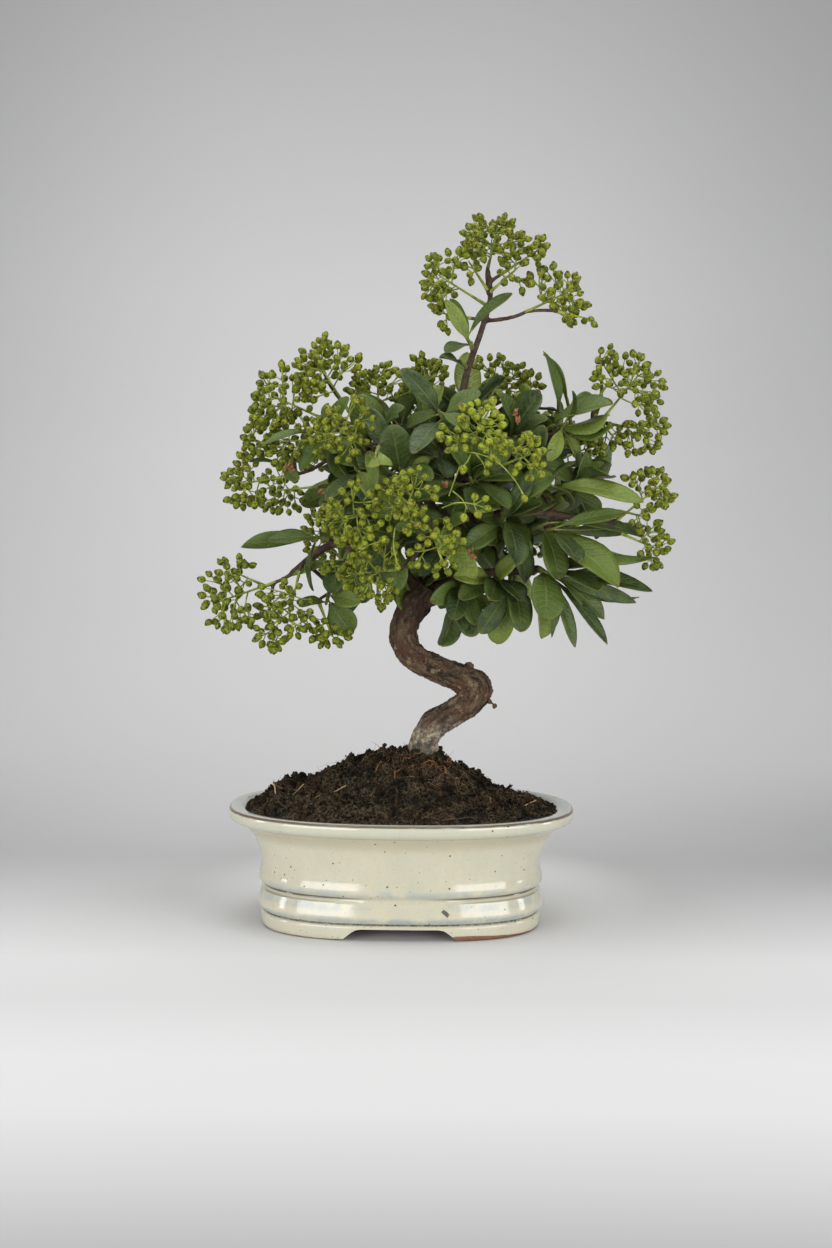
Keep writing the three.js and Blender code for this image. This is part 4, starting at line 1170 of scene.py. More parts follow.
def trunk_line():
    """The trunk's places, with radii that follow the drawn ones from place to place."""
    line = []
    for i, place in enumerate(smooth_curve(TRUNK_PLACES, TRUNK_SAMPLES)):
        k = min(i // TRUNK_SAMPLES, len(TRUNK_RADII) - 2)
        share = i / TRUNK_SAMPLES - k
        line.append((place, TRUNK_RADII[k] * (1 - share) + TRUNK_RADII[k + 1] * share))
    return line


def remeshed(bm, voxel, rounds):
    thing = placed("wood_tubes", mesh_of(bm, "wood_tubes"))
    remesh = thing.modifiers.new("skin", "REMESH")
    remesh.mode = "VOXEL"
    remesh.voxel_size = voxel
    skin = bmesh.new()
    skin.from_mesh(applied(thing))
    every_way = {"use_axis_x": True, "use_axis_y": True, "use_axis_z": True}
    for _ in range(rounds):
        bmesh.ops.smooth_vert(skin, verts=skin.verts, factor=0.5, **every_way)
    return skin


def inside(place, line):
    """Whether a place is in the wood of a line."""
    return any((place - middle).length < radius + 0.5 for middle, radius in line)


class Grain:
    """The middle lines of the wood, to tell how far along them and how far off them a place is."""

    def __init__(self, lines):
        self.spots = []
        for line in lines:
            run, side = 0, None
            for k, (place, radius) in enumerate(line):
                following = line[min(k + 1, len(line) - 1)][0]
                before = line[max(k - 1, 0)][0]
                along = (following - before).normalized()
                side = side or across(along)
                side = (side - along * side.dot(along)).normalized()
                run += (place - before).length
                if line is lines[0] or not inside(place, lines[0]):
                    self.spots.append((place, radius, run, side, along.cross(side)))
        self.tree = kdtree.KDTree(len(self.spots))
        for k, spot in enumerate(self.spots):
            self.tree.insert(spot[0], k)
        self.tree.balance()

    def at(self, place):
        """The wood's radius near a place, and the place as a run and two offsets from the middle line."""
        _, k, _ = self.tree.find(place)
        middle, radius, run, side, other = self.spots[k]
        off = place - middle
        return radius, Vector((run + off.dot(side.cross(other)), off.dot(side), off.dot(other)))


def bark_relief(flow, radius):
    """How far bark stands out: long flakes and fine cracks, and nothing on young wood."""
    age = clamped((radius - 1.6) / 5)
    flakes = noise.fractal(Vector((flow.x / 8, flow.y / 3.2, flow.z / 3.2)), 0.8, 2, 4)
    cracks = noise.noise(Vector((flow.x / 3.2, flow.y / 1.1, flow.z / 1.1)))
    crust = noise.fractal(Vector((flow.x / 2.6, flow.y / 1.7, flow.z / 1.7)), 0.7, 2, 3)
    return 0.16 * radius**0.4 * age * (3.0 * flakes + 1.2 * min(0, cracks + 0.1) + 1.1 * crust)


def wood_skin():
    lines = [trunk_line()] + [limb_line(*limb, 4) for limb in LIMBS]
    tubes = bmesh.new()
    add_tubes(tubes, lines, 3)
    stubs = [[(Vector(place), radius) for place, radius in stub] for stub in STUBS]
    add_tubes(tubes, twig_lines + stubs, 1)
    skin = remeshed(tubes, VOXEL, 3)
    grain = Grain(lines + twig_lines)
    flow_layer = skin.verts.layers.float_vector.new("flow")
    girth_layer = skin.verts.layers.float.new("girth")
    skin.normal_update()
    for vert in skin.verts:
        radius, flow = grain.at(vert.co)
        vert[flow_layer] = flow
        vert[girth_layer] = radius
        out = bark_relief(flow, radius)
        for place, reach, height in BURRS:
            gap = (vert.co - Vector(place)).length / reach
            if gap < 2:
                out += height * math.exp(-(gap**2))
        vert.co += vert.normal * out
    return skin


wood_bm = wood_skin()
print("wood faces:", len(wood_bm.faces))

# %% [markdown]
# Old firethorn bark is grey-brown with reddish patches and pale grey scars, and it gets paler and greyer at
# the foot. Young wood is smooth and purplish brown. The girth attribute blends one into the other.
# Near the top, under the crown, painted shade darkens the wood.


# %% Bark
def bark_finish():
    recipe = Recipe("firethorn_bark")
    here = recipe.millimetres()
    height = recipe.axis(here, 2)
    flow = recipe.attribute("flow", output=1)
    girth = recipe.attribute("girth")
    long_flow = recipe.node("Mapping", {}, {"Vector": flow, "Scale": (0.3, 1, 1)})
    flakes = recipe.noise(long_flow, 2.4, detail=5, roughness=0.65, warp=0.6)
    patches = recipe.noise(here, 8.5, detail=4, roughness=0.6)
    scars = recipe.noise(here, 5, detail=4, roughness=0.65)
    pits = recipe.noise(here, 0.9, detail=3, roughness=0.7)
    # Painted shade: the wood is darkened from about 143 mm up, where it lies under the crown.
    shade = (height + patches * 14).step(143, 160)
    foot = (height + patches * 12).step(109, 97)
    ash = recipe.noise(here, 2.4, detail=5, roughness=0.72).step(0.38, 0.62)
    ash = layered(ash.mix((84, 76, 64), (184, 173, 150)), (scars.step(0.5, 0.42) * 0.7, (70, 70, 70)))
    moss = (height + patches * 5).step(87.5, 85) * recipe.noise(here, 2, detail=3).step(0.36, 0.56)
    young = girth.step(3.4, 1.7)
    shoot = recipe.noise(here, 3, detail=3).step(0.3, 0.7).mix((56, 43, 35), (92, 74, 58))
    colour = layered(
        flakes.step(0.36, 0.62).mix((40, 31, 24), (104, 86, 66)),
        (patches.step(0.47, 0.6) * 0.75, (84, 55, 41)),
        (scars.step(0.55, 0.66) * 0.75, (135, 120, 91)),
        (pits.step(0.46, 0.36) * 0.65, (32, 25, 19)),
        (pits.step(0.57, 0.67) * 0.4, (134, 120, 96)),
        # Painted shade under the crown.
        (shade * 0.45, (48, 38, 29)),
        (foot * 0.85, ash),
        (moss * 0.7, (62, 70, 30)),
        (young, shoot),
    )
    cracks = recipe.noise(long_flow, 0.9, detail=4, roughness=0.7)
    old = 1 - young
    normal = recipe.bump(cracks * old, 0.55, recipe.bump(flakes * old, 0.8))
    rough = 0.9 - young * 0.24
    return recipe.surface(Base_Color=colour, Roughness=rough, Specular_IOR_Level=0.3, Normal=normal)


bark = bark_finish()
finish_piece("trunk_and_limbs", wood_bm, [bark], ["trunk_and_branches"])
print("bark nodes:", len(bark.node_tree.nodes))

# %% [markdown]
# A firethorn's leaf is narrow at its stalk and full near its tip, folded a little along the midrib and
# arched backwards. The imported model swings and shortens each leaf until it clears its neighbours. This
# script makes the same tries in the same order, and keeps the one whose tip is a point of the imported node.

# %% Tries of a leaf
CROWN_CENTRE = Vector((16, 0, 205))
CROWN_TURN = Vector((0.4, 2.5, 0.4))
RULED_WIDTH = 0.37
SWINGS = (0, 9, 18, 28, 39)
SHORTER = (1, 0.86, 0.72)
LEAF_FOLD = math.radians(16)
TIP_TOLERANCE = 0.08
LEAF_FULLNESS = 1.1


class Leaf:
    """A leaf's root, its directions, and its size in millimetres."""

    def __init__(self, root, line, sky, tilt, arch, reach, width):
        up = Matrix.Rotation(tilt, 3, line) @ (sky - line * sky.dot(line)).normalized()
        self.root = root
        self.along = line * math.cos(arch / 2) + up * math.sin(arch / 2)
        self.face = up * math.cos(arch / 2) - line * math.sin(arch / 2)
        self.arch = arch
        self.length = reach * (arch / 2) / math.sin(arch / 2)
        self.width = width

    def section(self, share):
        """The middle of the blade at a share of its length, with its upward and sideways directions."""
        turn = self.arch * share
        bow = self.length / self.arch
        place = self.root + self.along * bow * math.sin(turn) - self.face * bow * (1 - math.cos(turn))
        along = self.along * math.cos(turn) - self.face * math.sin(turn)
        face = self.face * math.cos(turn) + self.along * math.sin(turn)
        return place, face, face.cross(along)

    def point(self, share, edge, lift=0):
        """A point of the blade: edge runs from -1 at one margin to 1 at the other."""
        place, face, side = self.section(share)
        half = 0.5 * LEAF_FULLNESS * self.width * outline(share, self.width / self.length) * edge
        return place + side * half * math.cos(LEAF_FOLD) + face * (abs(half) * math.sin(LEAF_FOLD) + lift)


def outline(share, breadth):
    """Half the width of a blade as a share of its widest. Broad leaves have a rounder tip."""
    fullness = 0.8 - 0.32 * clamped((breadth - 0.24) / 0.16)
    return max(0, math.sin(math.pi * share**1.5)) ** fullness


def sky_of(root):
    """Where a leaf at this place turns its face: out of the crown, and up."""
    out = Vector([a * b for a, b in zip(root - CROWN_CENTRE, CROWN_TURN)]).normalized()
    return out * 0.9 + Vector((0, 0, 0.75))


def leaf_tries(root, tip, width, roll, draw):
    sky = sky_of(root)
    tilt = math.radians(roll + 36 * (draw() - 0.5))
    arch = math.radians(26 + 26 * draw())
    straight, reach = (tip - root).normalized(), (tip - root).length
    tries = []
    for shorter in SHORTER:
        for swing in SWINGS:
            for turn in range(8 if swing else 1):
                axis = Matrix.Rotation(turn * math.pi / 4, 3, straight) @ across(straight)
                line = Matrix.Rotation(math.radians(swing), 3, axis) @ straight
                tries.append(Leaf(root, line, sky, tilt, arch, shorter * reach, width * shorter))
    return tries


def leaf_list(foot, end, rows, draw):
    """Each leaf's root, tip, width and roll, from the shoot's own list or by rule."""
    count = len(rows) or RULED_LEAVES
    roots = [foot.lerp(end, 0.2 + 0.7 * i / max(count - 1, 1)) for i in range(count)]
    if rows:
        listed = [(Vector(row[:3]), *row[3:], 0)[:3] for row in rows]
        return [(root, *leaf) for root, leaf in zip(roots, listed)]
    away = (end - foot).normalized()
    direction = directions_round(away)
    leaves = []
    for i, root in enumerate(roots):
        open_angle = math.radians(72 - 9 * i)
        around = GOLDEN_ANGLE * i + math.radians(30 * draw())
        length = 28 + 12 * draw()
        out = direction(around)
        tip = root + away * length * math.cos(open_angle) + out * length * math.sin(open_angle)
        leaves.append((root, tip, RULED_WIDTH * length, 0))
    return leaves


def packed_points(node):
    """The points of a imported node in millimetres, for looking up the nearest one."""
    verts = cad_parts[node].data.vertices
    tree = kdtree.KDTree(len(verts))
    to_pot = TO_FRAME.inverted()
    for k, vert in enumerate(verts):
        tree.insert(to_pot @ vert.co, k)
    tree.balance()
    return tree


def shoot_leaves(row, order):
    """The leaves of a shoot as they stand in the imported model."""
    name, foot, end, rows = row
    foot, end = Vector(foot), Vector(end)
    draw = draws(500 + order)
    packed = packed_points("leaves_" + name)
    leaves = []
    for listed in leaf_list(foot, end, rows, draw):
        for guess in leaf_tries(*listed, draw):
            if packed.find(guess.section(1)[0])[2] < TIP_TOLERANCE:
                leaves.append(guess)
                break
    return leaves


shoots = []
for order, row in enumerate(SHOOTS):
    shoots.append((row[0], Vector(row[1]), Vector(row[2]), shoot_leaves(row, order)))
print("leaves found in the packed nodes:", sum(len(leaves) for *_, leaves in shoots))

# %% [markdown]
# A blade starts as a flat grid. Each of its points has a share of the length and of the half width, which
# the leaf turns into a place, so that the fold, the arch and the outline come from one rule. The margin
# waves a little, and a solidify gives the blade its thickness and a paler underside. The stalk runs on
# under the blade as its midrib.

# %% Blades and stalks
PETIOLE_SHARE = 0.12
BLADE_THICKNESS = 0.38
STALK = [(0, 0.62), (0.07, 0.5), (0.14, 0.46), (0.3, 0.4), (0.5, 0.3), (0.7, 0.2), (0.86, 0.12)]


def blade_grid(rows, columns):
    grid = bmesh.new()
    bmesh.ops.create_grid(grid, x_segments=rows, y_segments=columns, size=1)
    grid.verts.ensure_lookup_table()
    return grid


def join(target, source):
    """Adds one bmesh to another and frees it."""
    mesh = mesh_of(source, "joined")
    target.from_mesh(mesh)
    bpy.data.meshes.remove(mesh)


def add_blade(blades, grid, leaf, draw):
    """Adds a leaf's blade, and keeps each point's share, edge and the leaf's tone as an attribute."""
    blade = grid.copy()
    layer = blade.verts.layers.float_vector.new("blade")
    tone, wave = draw(), 6 * draw()
    for vert in blade.verts:
        along, edge = (vert.co.x + 1) / 2, vert.co.y
        share = PETIOLE_SHARE + (1 - PETIOLE_SHARE) * (1 - (1 - along) ** 1.5)
        vert[layer] = (share, edge, tone)
        narrow = min(1, 0.35 + along * 3)
        lift = 0.05 * leaf.width * math.sin(share * 9 + wave + 2 * (edge > 0)) * edge**2
        vert.co = leaf.point(share, edge * narrow, lift)
    bmesh.ops.remove_doubles(blade, verts=blade.verts, dist=1e-3)
    join(blades, blade)


def leaf_stalk(leaf):
    """The leaf's stalk, and the midrib that it becomes under the blade."""
    line = []
    for share, radius in STALK:
        place, face, _ = leaf.section(share)
        line.append((place - face * (0.3 if share > 0.1 else 0), radius))
    return line


def thickened(blades):
    thing = placed("blades", mesh_of(blades, "blades"))
    shell = thing.modifiers.new("thickness", "SOLIDIFY")
    shell.thickness = BLADE_THICKNESS
    shell.offset = -1
    shell.material_offset = 1
    result = bmesh.new()
    result.from_mesh(applied(thing))
    return result


def green_stem(foot, end):
    away = (end - foot).normalized()
    shares = (0, 0.3, 0.6, 0.9, 1)
    line = [(foot.lerp(end, share), 1.1 - 0.35 * share) for share in shares]
    return [(foot - away * 0.4, 1.1)] + line + [(end + away * 1.1, 0.15)]


def shoot_mesh(foot, end, leaves, grid, draw):
    blades = bmesh.new()
    for leaf in leaves:
        add_blade(blades, grid, leaf, draw)
    bm = thickened(blades)
    add_tubes(bm, [green_stem(foot, end)], 2, 2)
    add_tubes(bm, [leaf_stalk(leaf) for leaf in leaves], 1, 2)
    return bm


# %% [markdown]
# The upper side of a firethorn leaf is dark and glossy with a paler midrib. Older leaves are deep green,
# and younger ones are yellow-green. The side veins are drawn from the same share and edge that shaped the
# blade, so they follow it however it is turned. The underside is pale and dull.

# %% Leaf finishes
def blade_facts(recipe):
    facts = recipe.attribute("blade", output=1)
    return [recipe.axis(facts, index) for index in range(3)]


def vein_mask(recipe, share, edge):
    """1 on the side veins, which leave the midrib at a slant."""
    slant = share * 11 - edge.size() * 1.6
    wave = recipe.node("Math", {"operation": "FRACT"}, {0: slant})
    return (wave - 0.5).size().step(0.16, 0.02) * edge.size().step(0.95, 0.7)


def leaf_upper():
    recipe = Recipe("leaf_upper_side")
    here = recipe.millimetres()
    share, edge, tone = blade_facts(recipe)
    mottle = recipe.noise(here, 5, detail=3)
    fine = recipe.noise(here, 0.9, detail=4, roughness=0.65)
    veins = vein_mask(recipe, share, edge)
    net = recipe.cells(here, 1.3, feature="DISTANCE_TO_EDGE").step(0.14, 0.02)
    midrib = edge.size().step(0.09, 0.03) * share.step(1.0, 0.5)
    tip = share.step(0.93, 1.0) * mottle.step(0.4, 0.6)
    colour = layered(
        tone.step(0.0, 0.65).mix((33, 52, 21), (80, 100, 34)),
        (tone.step(0.66, 0.95), (124, 140, 56)),
        (mottle.step(0.35, 0.7) * 0.4, (98, 115, 46)),
        (fine.step(0.42, 0.66) * 0.3, (26, 42, 16)),
        (veins * 0.13, (114, 132, 70)),
        (net * 0.12, (120, 136, 76)),
        (midrib * 0.5, (128, 138, 84)),
        (tip * 0.6, (126, 104, 56)),
    )
    relief = recipe.bump(fine - net * 0.6, 0.1, recipe.bump(veins * -1, 0.15, recipe.bump(mottle, 0.4)))
    normal = recipe.bump(1 - midrib, 0.3, relief)
    rough = mottle * 0.3 + 0.26
    return recipe.surface(Base_Color=colour, Roughness=rough, Specular_IOR_Level=0.36, Normal=normal)


def leaf_under():
    recipe = Recipe("leaf_underside")
    here = recipe.millimetres()
    share, edge, tone = blade_facts(recipe)
    mottle = recipe.noise(here, 4, detail=3)
    veins = vein_mask(recipe, share, edge)
    colour = layered(
        tone.mix((104, 120, 58), (142, 154, 84)),
        (mottle.step(0.4, 0.7) * 0.4, (138, 148, 98)),
        (veins * 0.3, (148, 158, 108)),
    )
    normal = recipe.bump(veins, 0.15)
    return recipe.surface(Base_Color=colour, Roughness=0.6, Specular_IOR_Level=0.3, Normal=normal)


green_finish = plain_finish("green_stem", (88, 100, 42), (130, 132, 70), 4, 0.55)
LEAF_MATERIALS = [leaf_upper(), leaf_under(), green_finish]
fine_grid = blade_grid(14, 6)
for order, (name, foot, end, leaves) in enumerate(shoots):
    shoot_bm = shoot_mesh(foot, end, leaves, fine_grid, draws(2000 + order))
    finish_piece("shoot_" + name, shoot_bm, LEAF_MATERIALS, ["leaves_" + name])
print("shoot pieces:", len(shoots), "materials:", [material.name for material in LEAF_MATERIALS])

# %% [markdown]
# The broad leaves against the crown's face and the small ones inside it look for room. Each tries its own
# place first, then swings aside or grows shorter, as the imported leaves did, until it clears the leaves that
# are already there.

# %% Leaves that look for room
LEAF_ROOM = 0.9
INNER_LEAVES = 5


class Thicket:
    """Search trees of the leaves and stems so far, to tell whether a new one has room."""

    def __init__(self):
        self.trees = []

    def add(self, bm):
        self.trees.append(BVHTree.FromBMesh(bm))

    def is_clear(self, places, gap):
        return all(tree.find_nearest(place, gap)[0] is None for place in places for tree in self.trees)


def blade_spots(leaf):
    """Places spread over a blade and its margins."""
    shares, edges = (0.22, 0.36, 0.5, 0.62, 0.74, 0.86, 0.97), (-1, -0.5, 0, 0.5, 1)
    return [leaf.point(share, edge) for share in shares for edge in edges]


def first_clear(tries, thicket, others):
    for guess in tries:
        spots = blade_spots(guess)
        if thicket.is_clear(spots, LEAF_ROOM):
            if all((spot - other).length > 1.2 * LEAF_ROOM for spot in spots for other in others):
                return guess
    return None


def grow_shoot(target, foot, end, listed, seed, grid):
    """Adds a shoot whose leaves all look for room to a bmesh, and gives the number of its leaves."""
    draw = draws(seed)
    leaves, others = [], []
    for leaf in listed:
        guess = first_clear(leaf_tries(*leaf, draw), thicket, others)
        if guess:
            leaves.append(guess)
            others += blade_spots(guess)
    bm = shoot_mesh(foot, end, leaves, grid, draw)
    thicket.add(bm)
    join(target, bm)
    return len(leaves)


def inner_leaves(foot, end, draw):
    """Root, tip, width and roll of each leaf of a small inner shoot."""
    away = (end - foot).normalized()
    direction = directions_round(away)
    leaves = []
    for i in range(INNER_LEAVES):
        around = GOLDEN_ANGLE * i + 0.6 * draw()
        open_angle = math.radians(80 - 12 * i)
        length = 19 + 9 * draw()
        out = direction(around)
        root = foot.lerp(end, 0.2 + 0.2 * i)
        tip = root + (away * math.cos(open_angle) + out * math.sin(open_angle)) * length
        leaves.append((root, tip, (0.38 + 0.12 * draw()) * length, 0))
    return leaves


thicket = Thicket()
for name, *_ in SHOOTS:
    packed_shoot = bmesh.new()
    packed_shoot.from_mesh(bpy.data.objects["shoot_" + name].data)
    packed_shoot.transform(TO_FRAME.inverted())
    thicket.add(packed_shoot)
    packed_shoot.free()

coarse_grid = blade_grid(8, 4)
front_count = inner_count = 0
front_bm, inner_bm = bmesh.new(), bmesh.new()
for order, (_, foot, end, rows) in enumerate(MORE_SHOOTS):
    foot, end = Vector(foot), Vector(end)
    listed = leaf_list(foot, end, rows, None)
    front_count += grow_shoot(front_bm, foot, end, listed, 5000 + order, fine_grid)
for order, (_, foot, end) in enumerate(inner_shoots):
    listed = inner_leaves(foot, end, draws(6000 + order))
    inner_count += grow_shoot(inner_bm, foot, end, listed, 7000 + order, coarse_grid)
finish_piece("front_leaves", front_bm, LEAF_MATERIALS)
inner = finish_piece("inner_leaves", inner_bm, LEAF_MATERIALS)
print("front leaves:", front_count, "inner leaves:", inner_count, "faces:", len(inner.data.polygons))

# %% [markdown]
# A berry is a small egg with the remains of the flower at its far end: five dry points round a sunken
# middle. The ball's ring next to the pole has ten points, and every second one is raised to make them. The
# template is made once and copied, because there are well over a thousand berries.

# %% Berry template
BERRY_RADIUS = 2.15
BERRY_STEPS = 10
BERRY_RINGS = 7


def berry_template():
    bm = bmesh.new()
    layer = bm.verts.layers.float.new("calyx")
    bmesh.ops.create_uvsphere(bm, u_segments=BERRY_STEPS, v_segments=BERRY_RINGS, radius=1)
    for vert in bm.verts:
        polar = math.acos(max(-1, min(1, vert.co.z)))
        ring = polar / math.pi * BERRY_RINGS
        sector = round(math.atan2(vert.co.y, vert.co.x) / (2 * math.pi / BERRY_STEPS))
        raised = sector % 2 == 0
        if ring < 0.1:
            vert.co.z, vert[layer] = 1.3, 1.0
        elif ring < 1.2:
            vert.co.x *= 0.86 if raised else 0.66
            vert.co.y *= 0.86 if raised else 0.66
            vert.co.z = 1.16 if raised else 1
            vert[layer] = 1.0 if raised else 0.5
        elif ring > BERRY_RINGS - 0.1:
            vert.co.z = -0.95
        elif ring < 3.2:
            vert.co *= 1.05 if raised else 0.96
            vert[layer] = 0.3 if raised and ring < 2.2 else 0
        vert.co.z *= 1.12
    mesh = mesh_of(bm, "berry")
    mesh.shade_smooth()
    return mesh


berry_mesh = berry_template()
print("faces on a berry:", len(berry_mesh.polygons))

# %% [markdown]
# A head is built on a dome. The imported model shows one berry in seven, and this script adds the others
# where the same dome puts them, as long as they stay clear of the leaves and of each other. A shown berry
# has a ray of its own from the middle stalk, and one in three of the rest has too. The other berries stand
# in small groups near the end of a ray and fork off it, as the side stalks of a corymb do.

# %% Heads of berries
BERRIES_PER_MM2 = 0.18
BERRY_SHARE = 7
DOME_ANGLE = math.radians(105)
RAY_SHARE = 3
BERRY_GAP = 3.3
LEAF_GAP = 2.1
MIDDLE_STALK = [(0, 0.95), (0.2, 0.7), (0.5, 0.55), (1, 0.42)]


def head_plan(row, order):
    """The middle stalk of a head, and its berries: each with its place, its root and whether it is shown."""
    draw = draws(100 + order)
    foot, middle, size = Vector(row[1]), Vector(row[2]), row[3]
    away = (middle - foot).normalized()
    direction = directions_round(away)
    centre = middle - away * 0.3 * size
    neck = centre - away * min(0.5 * size, 0.6 * (centre - foot).length)
    top = centre + away * 0.35 * size
    count = round(BERRIES_PER_MM2 * size * size)
    berries = []
    for i in range(count):
        polar = math.acos(1 - (1 - math.cos(DOME_ANGLE)) * (i + 0.5) / count)
        around = GOLDEN_ANGLE * i + math.radians(14 * draw())
        shown = i % BERRY_SHARE == 3
        out = size * (1.02 if shown else 0.7 + 0.32 * draw())
        place = centre + away * 0.8 * out * math.cos(polar)
        place += direction(around) * out * math.sin(polar)
        berries.append((place, top.lerp(neck, (i + 0.5) / count), shown))
    return foot, away, top, berries


class Crowd:
    """The places that are already taken by berries, kept in cubes so that the near ones are quick to find."""

    def __init__(self, gap):
        self.gap = gap
        self.cubes = {}

    def cube(self, place):
        return tuple(math.floor(value / self.gap) for value in place)

    def near(self, place):
        x, y, z = self.cube(place)
        steps = (-1, 0, 1)
        cubes = [(x + i, y + j, z + k) for i in steps for j in steps for k in steps]
        return [other for cube in cubes for other in self.cubes.get(cube, [])]

    def has_room(self, place):
        return all((place - other).length > self.gap for other in self.near(place))

    def take(self, place):
        self.cubes.setdefault(self.cube(place), []).append(place)


def stalk_line(root, place, draw, start=0.5, end=0.4):
    """A slightly bowed line from root to the underside of a berry, with its radii."""
    along = (place - root).normalized()
    bow = across(along) * (draw() - 0.5) + along.cross(across(along)) * (draw() - 0.5)
    finish = place - along * 0.85 * BERRY_RADIUS
    handle = root.lerp(finish, 0.5) + bow * 0.25 * (finish - root).length
    line = bent_line(root, handle, finish, 4)
    return [(spot, start + (end - start) * i / 4) for i, spot in enumerate(line)]


def neighbours(place, along, draw):
    """One to four places close round a berry, a little lower on its stalk."""
    direction = directions_round(along)
    around = 2 * math.pi * draw()
    for turn in range(1 + int(3.99 * draw())):
        reach = 3.5 + 1.8 * draw()
        yield place + direction(around + turn * 2.3) * reach - along * (0.3 + 3.6 * draw())


def place_berries(row, order, packed, crowd):
    """The stalks and berries of a head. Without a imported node, every ray finds its own room."""
    foot, away, top, plan = head_plan(row, order)
    draw = draws(3000 + order)
    middle = [(foot.lerp(top, share), radius) for share, radius in MIDDLE_STALK]
    lines, berries, rays = [[(foot - away * 0.4, 1.0), *middle]], [], []

    def has_room(place):
        return thicket.is_clear([place], LEAF_GAP) and crowd.has_room(place)

    def set_berry(start, place, thick, thin):
        lines.append(stalk_line(start, place, draw, thick, thin))
        berries.append((place, (place - start).normalized()))
        crowd.take(place)

    for place, root, shown in plan:
        along = (place - root).normalized()
        in_place = packed and packed.find(place + along * 1.05 * BERRY_RADIUS)[2] < TIP_TOLERANCE
        if shown and (in_place or not packed and has_room(place)):
            set_berry(root, place, 0.38, 0.32)
            rays.append(lines[-1])
    for k, (place, root, shown) in enumerate(plan):
        if shown or k % RAY_SHARE or not has_room(place):
            continue
        forks = [spot for ray in rays for spot, _ in ray[1:3]] + [root]
        start = min(forks, key=lambda spot: (spot - place).length + 0.4 * (spot - root).length)
        set_berry(start, place, 0.34, 0.28)
    for (place, along), line in zip(list(berries), lines[1:]):
        for beside in neighbours(place, along, draw):
            if has_room(beside):
                set_berry(line[2][0], beside, 0.27, 0.24)
    return lines, berries


# %% [markdown]
# The berries are still unripe. Most are dark olive green, and those in the middle of the crown have more
# yellow. Each has its own tone, freckles, and a dark calyx. Those low in the crown get a darker tone,
# which is painted shade.

# %% Berry finishes
# Berries lower than this get a darker tone: painted shade under the crown.
SHADE_PAINTED_BELOW = 180
BRIGHT_SPOTS = [((36, -32, 236), 30), ((6, -34, 200), 26), ((60, -28, 226), 18), ((28, -50, 206), 14)]


def brightness(place):
    """How yellow the berries of the crown are at a place, from 0 to 1."""
    gaps = [(place - Vector(spot)).length / reach for spot, reach in BRIGHT_SPOTS]
    return math.exp(-(min(gaps) ** 2))


def berry_skin():
    recipe = Recipe("berry_skin")
    here = recipe.millimetres()
    ripe = recipe.attribute("ripe")
    tone = recipe.attribute("tone")
    freckles = recipe.noise(here, 0.7, detail=2)
    blotches = recipe.noise(here, 1.15, detail=3, roughness=0.65)
    rust = recipe.noise(here, 2.4, detail=3)
    dry = recipe.attribute("calyx").step(0.3, 0.75)
    colour = layered(
        ripe.mix((112, 124, 18), (184, 200, 64)),
        (tone.step(0.55, 1.0) * 0.5, (140, 139, 34)),
        (tone.step(0.35, 0.0) * 0.6, (74, 92, 14)),
        (blotches.step(0.48, 0.6) * (0.9 - ripe * 0.5), (53, 55, 5)),
        (rust.step(0.57, 0.66) * 0.4, (100, 66, 26)),
        (freckles.step(0.55, 0.66) * 0.55, (178, 186, 62)),
        (dry * (0.85 - ripe * 0.4), (46, 40, 16)),
    )
    normal = recipe.bump(blotches, 0.3, recipe.bump(freckles, 0.1))
    return recipe.surface(Base_Color=colour, Roughness=0.55, Specular_IOR_Level=0.28, Normal=normal)


BERRY_MATERIALS = [berry_skin(), plain_finish("berry_stalk", (98, 110, 36), (158, 172, 64), 5, 0.6)]


def add_berry(bm, place, along, draw):
    """A berry that points along its stalk, with its own size, turn and tone, and painted shade if low."""
    size = BERRY_RADIUS * (0.71 + 0.19 * draw())
    matrix = Matrix.LocRotScale(place, along.to_track_quat("Z", "Y"), (size, size, size))
    matrix = matrix @ Matrix.Rotation(6.3 * draw(), 4, "Z")
    ripe = min(1, brightness(place) * (0.7 + 0.5 * draw()))
    # Painted shade: a berry low in the crown gets half the tone, so it is darker.
    tone = draw() * (0.5 if place.z < SHADE_PAINTED_BELOW else 1)
    add_copy(bm, berry_mesh, matrix, ripe=ripe, tone=tone)


def head_mesh(lines, berries, draw):
    bm = bmesh.new()
    add_tubes(bm, lines, 1, 1)
    for place, along in berries:
        add_berry(bm, place, along, draw)
    return bm


# %% [markdown]
# In front of the crown a few rays are much longer than the others. They lie across the dark leaves as thin
# bright lines with a berry or two at the end. Between them some flowers have withered without setting a
# berry, and hang on as small brown tufts. Both are moved forward until they are clear of the leaves.

